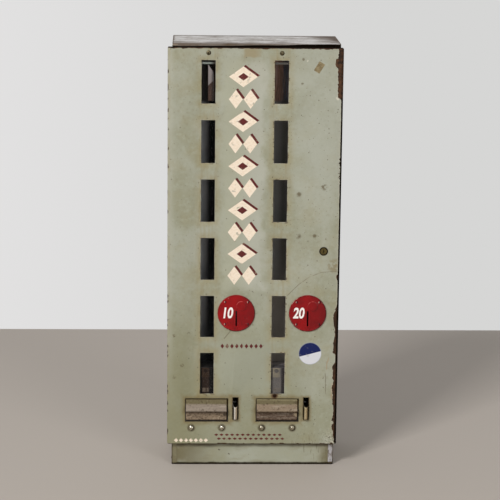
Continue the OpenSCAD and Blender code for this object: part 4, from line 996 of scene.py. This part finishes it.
bpy.ops.mesh.select_all(action="SELECT")
bpy.ops.mesh.normals_make_consistent(inside=False)
bpy.ops.object.mode_set(mode="OBJECT")
hang(sticker, "round_sticker", (sticker_x, door_low.y, sticker_z), sticker_finish)
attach(sticker, "door")


# A scrap of old brown tape is left near the door's top right corner.
# It is gummed paper, torn off short, and still sticks flat to the enamel.
tape_finish, place = new_finish("old_tape", Specular_IOR_Level=0.3)
cloud = ease(grain(place, 0.008, 4, 171), 0.35, 0.7)
fibre = ease(grain(place, 0.0022, 4, 173), 0.50, 0.66)
colour = tint(tint((148, 134, 100), (112, 94, 64), cloud), (84, 68, 42), fibre * 0.45)
feed(tape_finish, Base_Color=colour, Roughness=0.5 + cloud * 0.2,
     Normal=relief(grain(place, 0.003, 4, 172), 0.0002))
bpy.ops.object.select_all(action="DESELECT")
bpy.ops.mesh.primitive_plane_add(size=0.024, location=(0, 0, 0))
tape = bpy.context.object
edit_all()
bpy.ops.mesh.subdivide(number_cuts=7, fractal=0.02, seed=4)
bpy.ops.transform.resize(value=(0.60, 1, 0))
bpy.ops.object.mode_set(mode="OBJECT")
thicken(tape, 0.0002)
askew = Matrix.Rotation(math.radians(-32), 4, "Z")
hang(tape, "tape_scrap", (0.1434, door_low.y, 0.9392), tape_finish, askew)
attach(tape, "door")


# A torn scrap of card has slipped in behind the clear strip of the top left window.
# Its upper part is still pale, and below a slanting tear it is brown. It is darker towards its right side.
card_finish, place = new_finish("torn_card", Specular_IOR_Level=0.3)
x, _, z = axes(place)
tear = (z - 0.8965) - (x + 0.1068) * 0.9 + (grain(place, 0.005, 4, 181) - 0.5) * 0.004
colour = tint((70, 50, 40), (146, 136, 133), ease(tear, -0.0006, 0.0006))
# Darker towards its right side.
darker_right = ease(x + (grain(place, 0.02, 3, 182, (1, 1, 4)) - 0.5) * 0.006, -0.1025, -0.0955)
colour = tint(colour, (26, 19, 15), darker_right * 0.75)
feed(card_finish, Base_Color=colour, Roughness=0.6 + grain(place, 0.004, 3, 183) * 0.2)
card_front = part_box("window_strip_left")[1].y + 0.0006
bpy.ops.object.select_all(action="DESELECT")
bpy.ops.mesh.primitive_plane_add(size=1, location=(0, 0, 0))
card = bpy.context.object
edit_all()
bpy.ops.transform.resize(value=(0.0130, 0.0817, 1))
for cut_at, cut_towards in (((-0.0065, 0.0408, 0), (0.83, 0.56, 0)),
                            ((0.0065, 0.0041, 0), (0.997, 0.071, 0))):
    bpy.ops.mesh.bisect(plane_co=cut_at, plane_no=cut_towards, use_fill=False, clear_outer=True)
    bpy.ops.mesh.select_all(action="SELECT")
bpy.ops.mesh.subdivide(number_cuts=3)
bpy.ops.object.mode_set(mode="OBJECT")
thicken(card, 0.0003)
hang(card, "torn_card", (-0.1004, card_front, 0.9029), card_finish)
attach(card, "door")
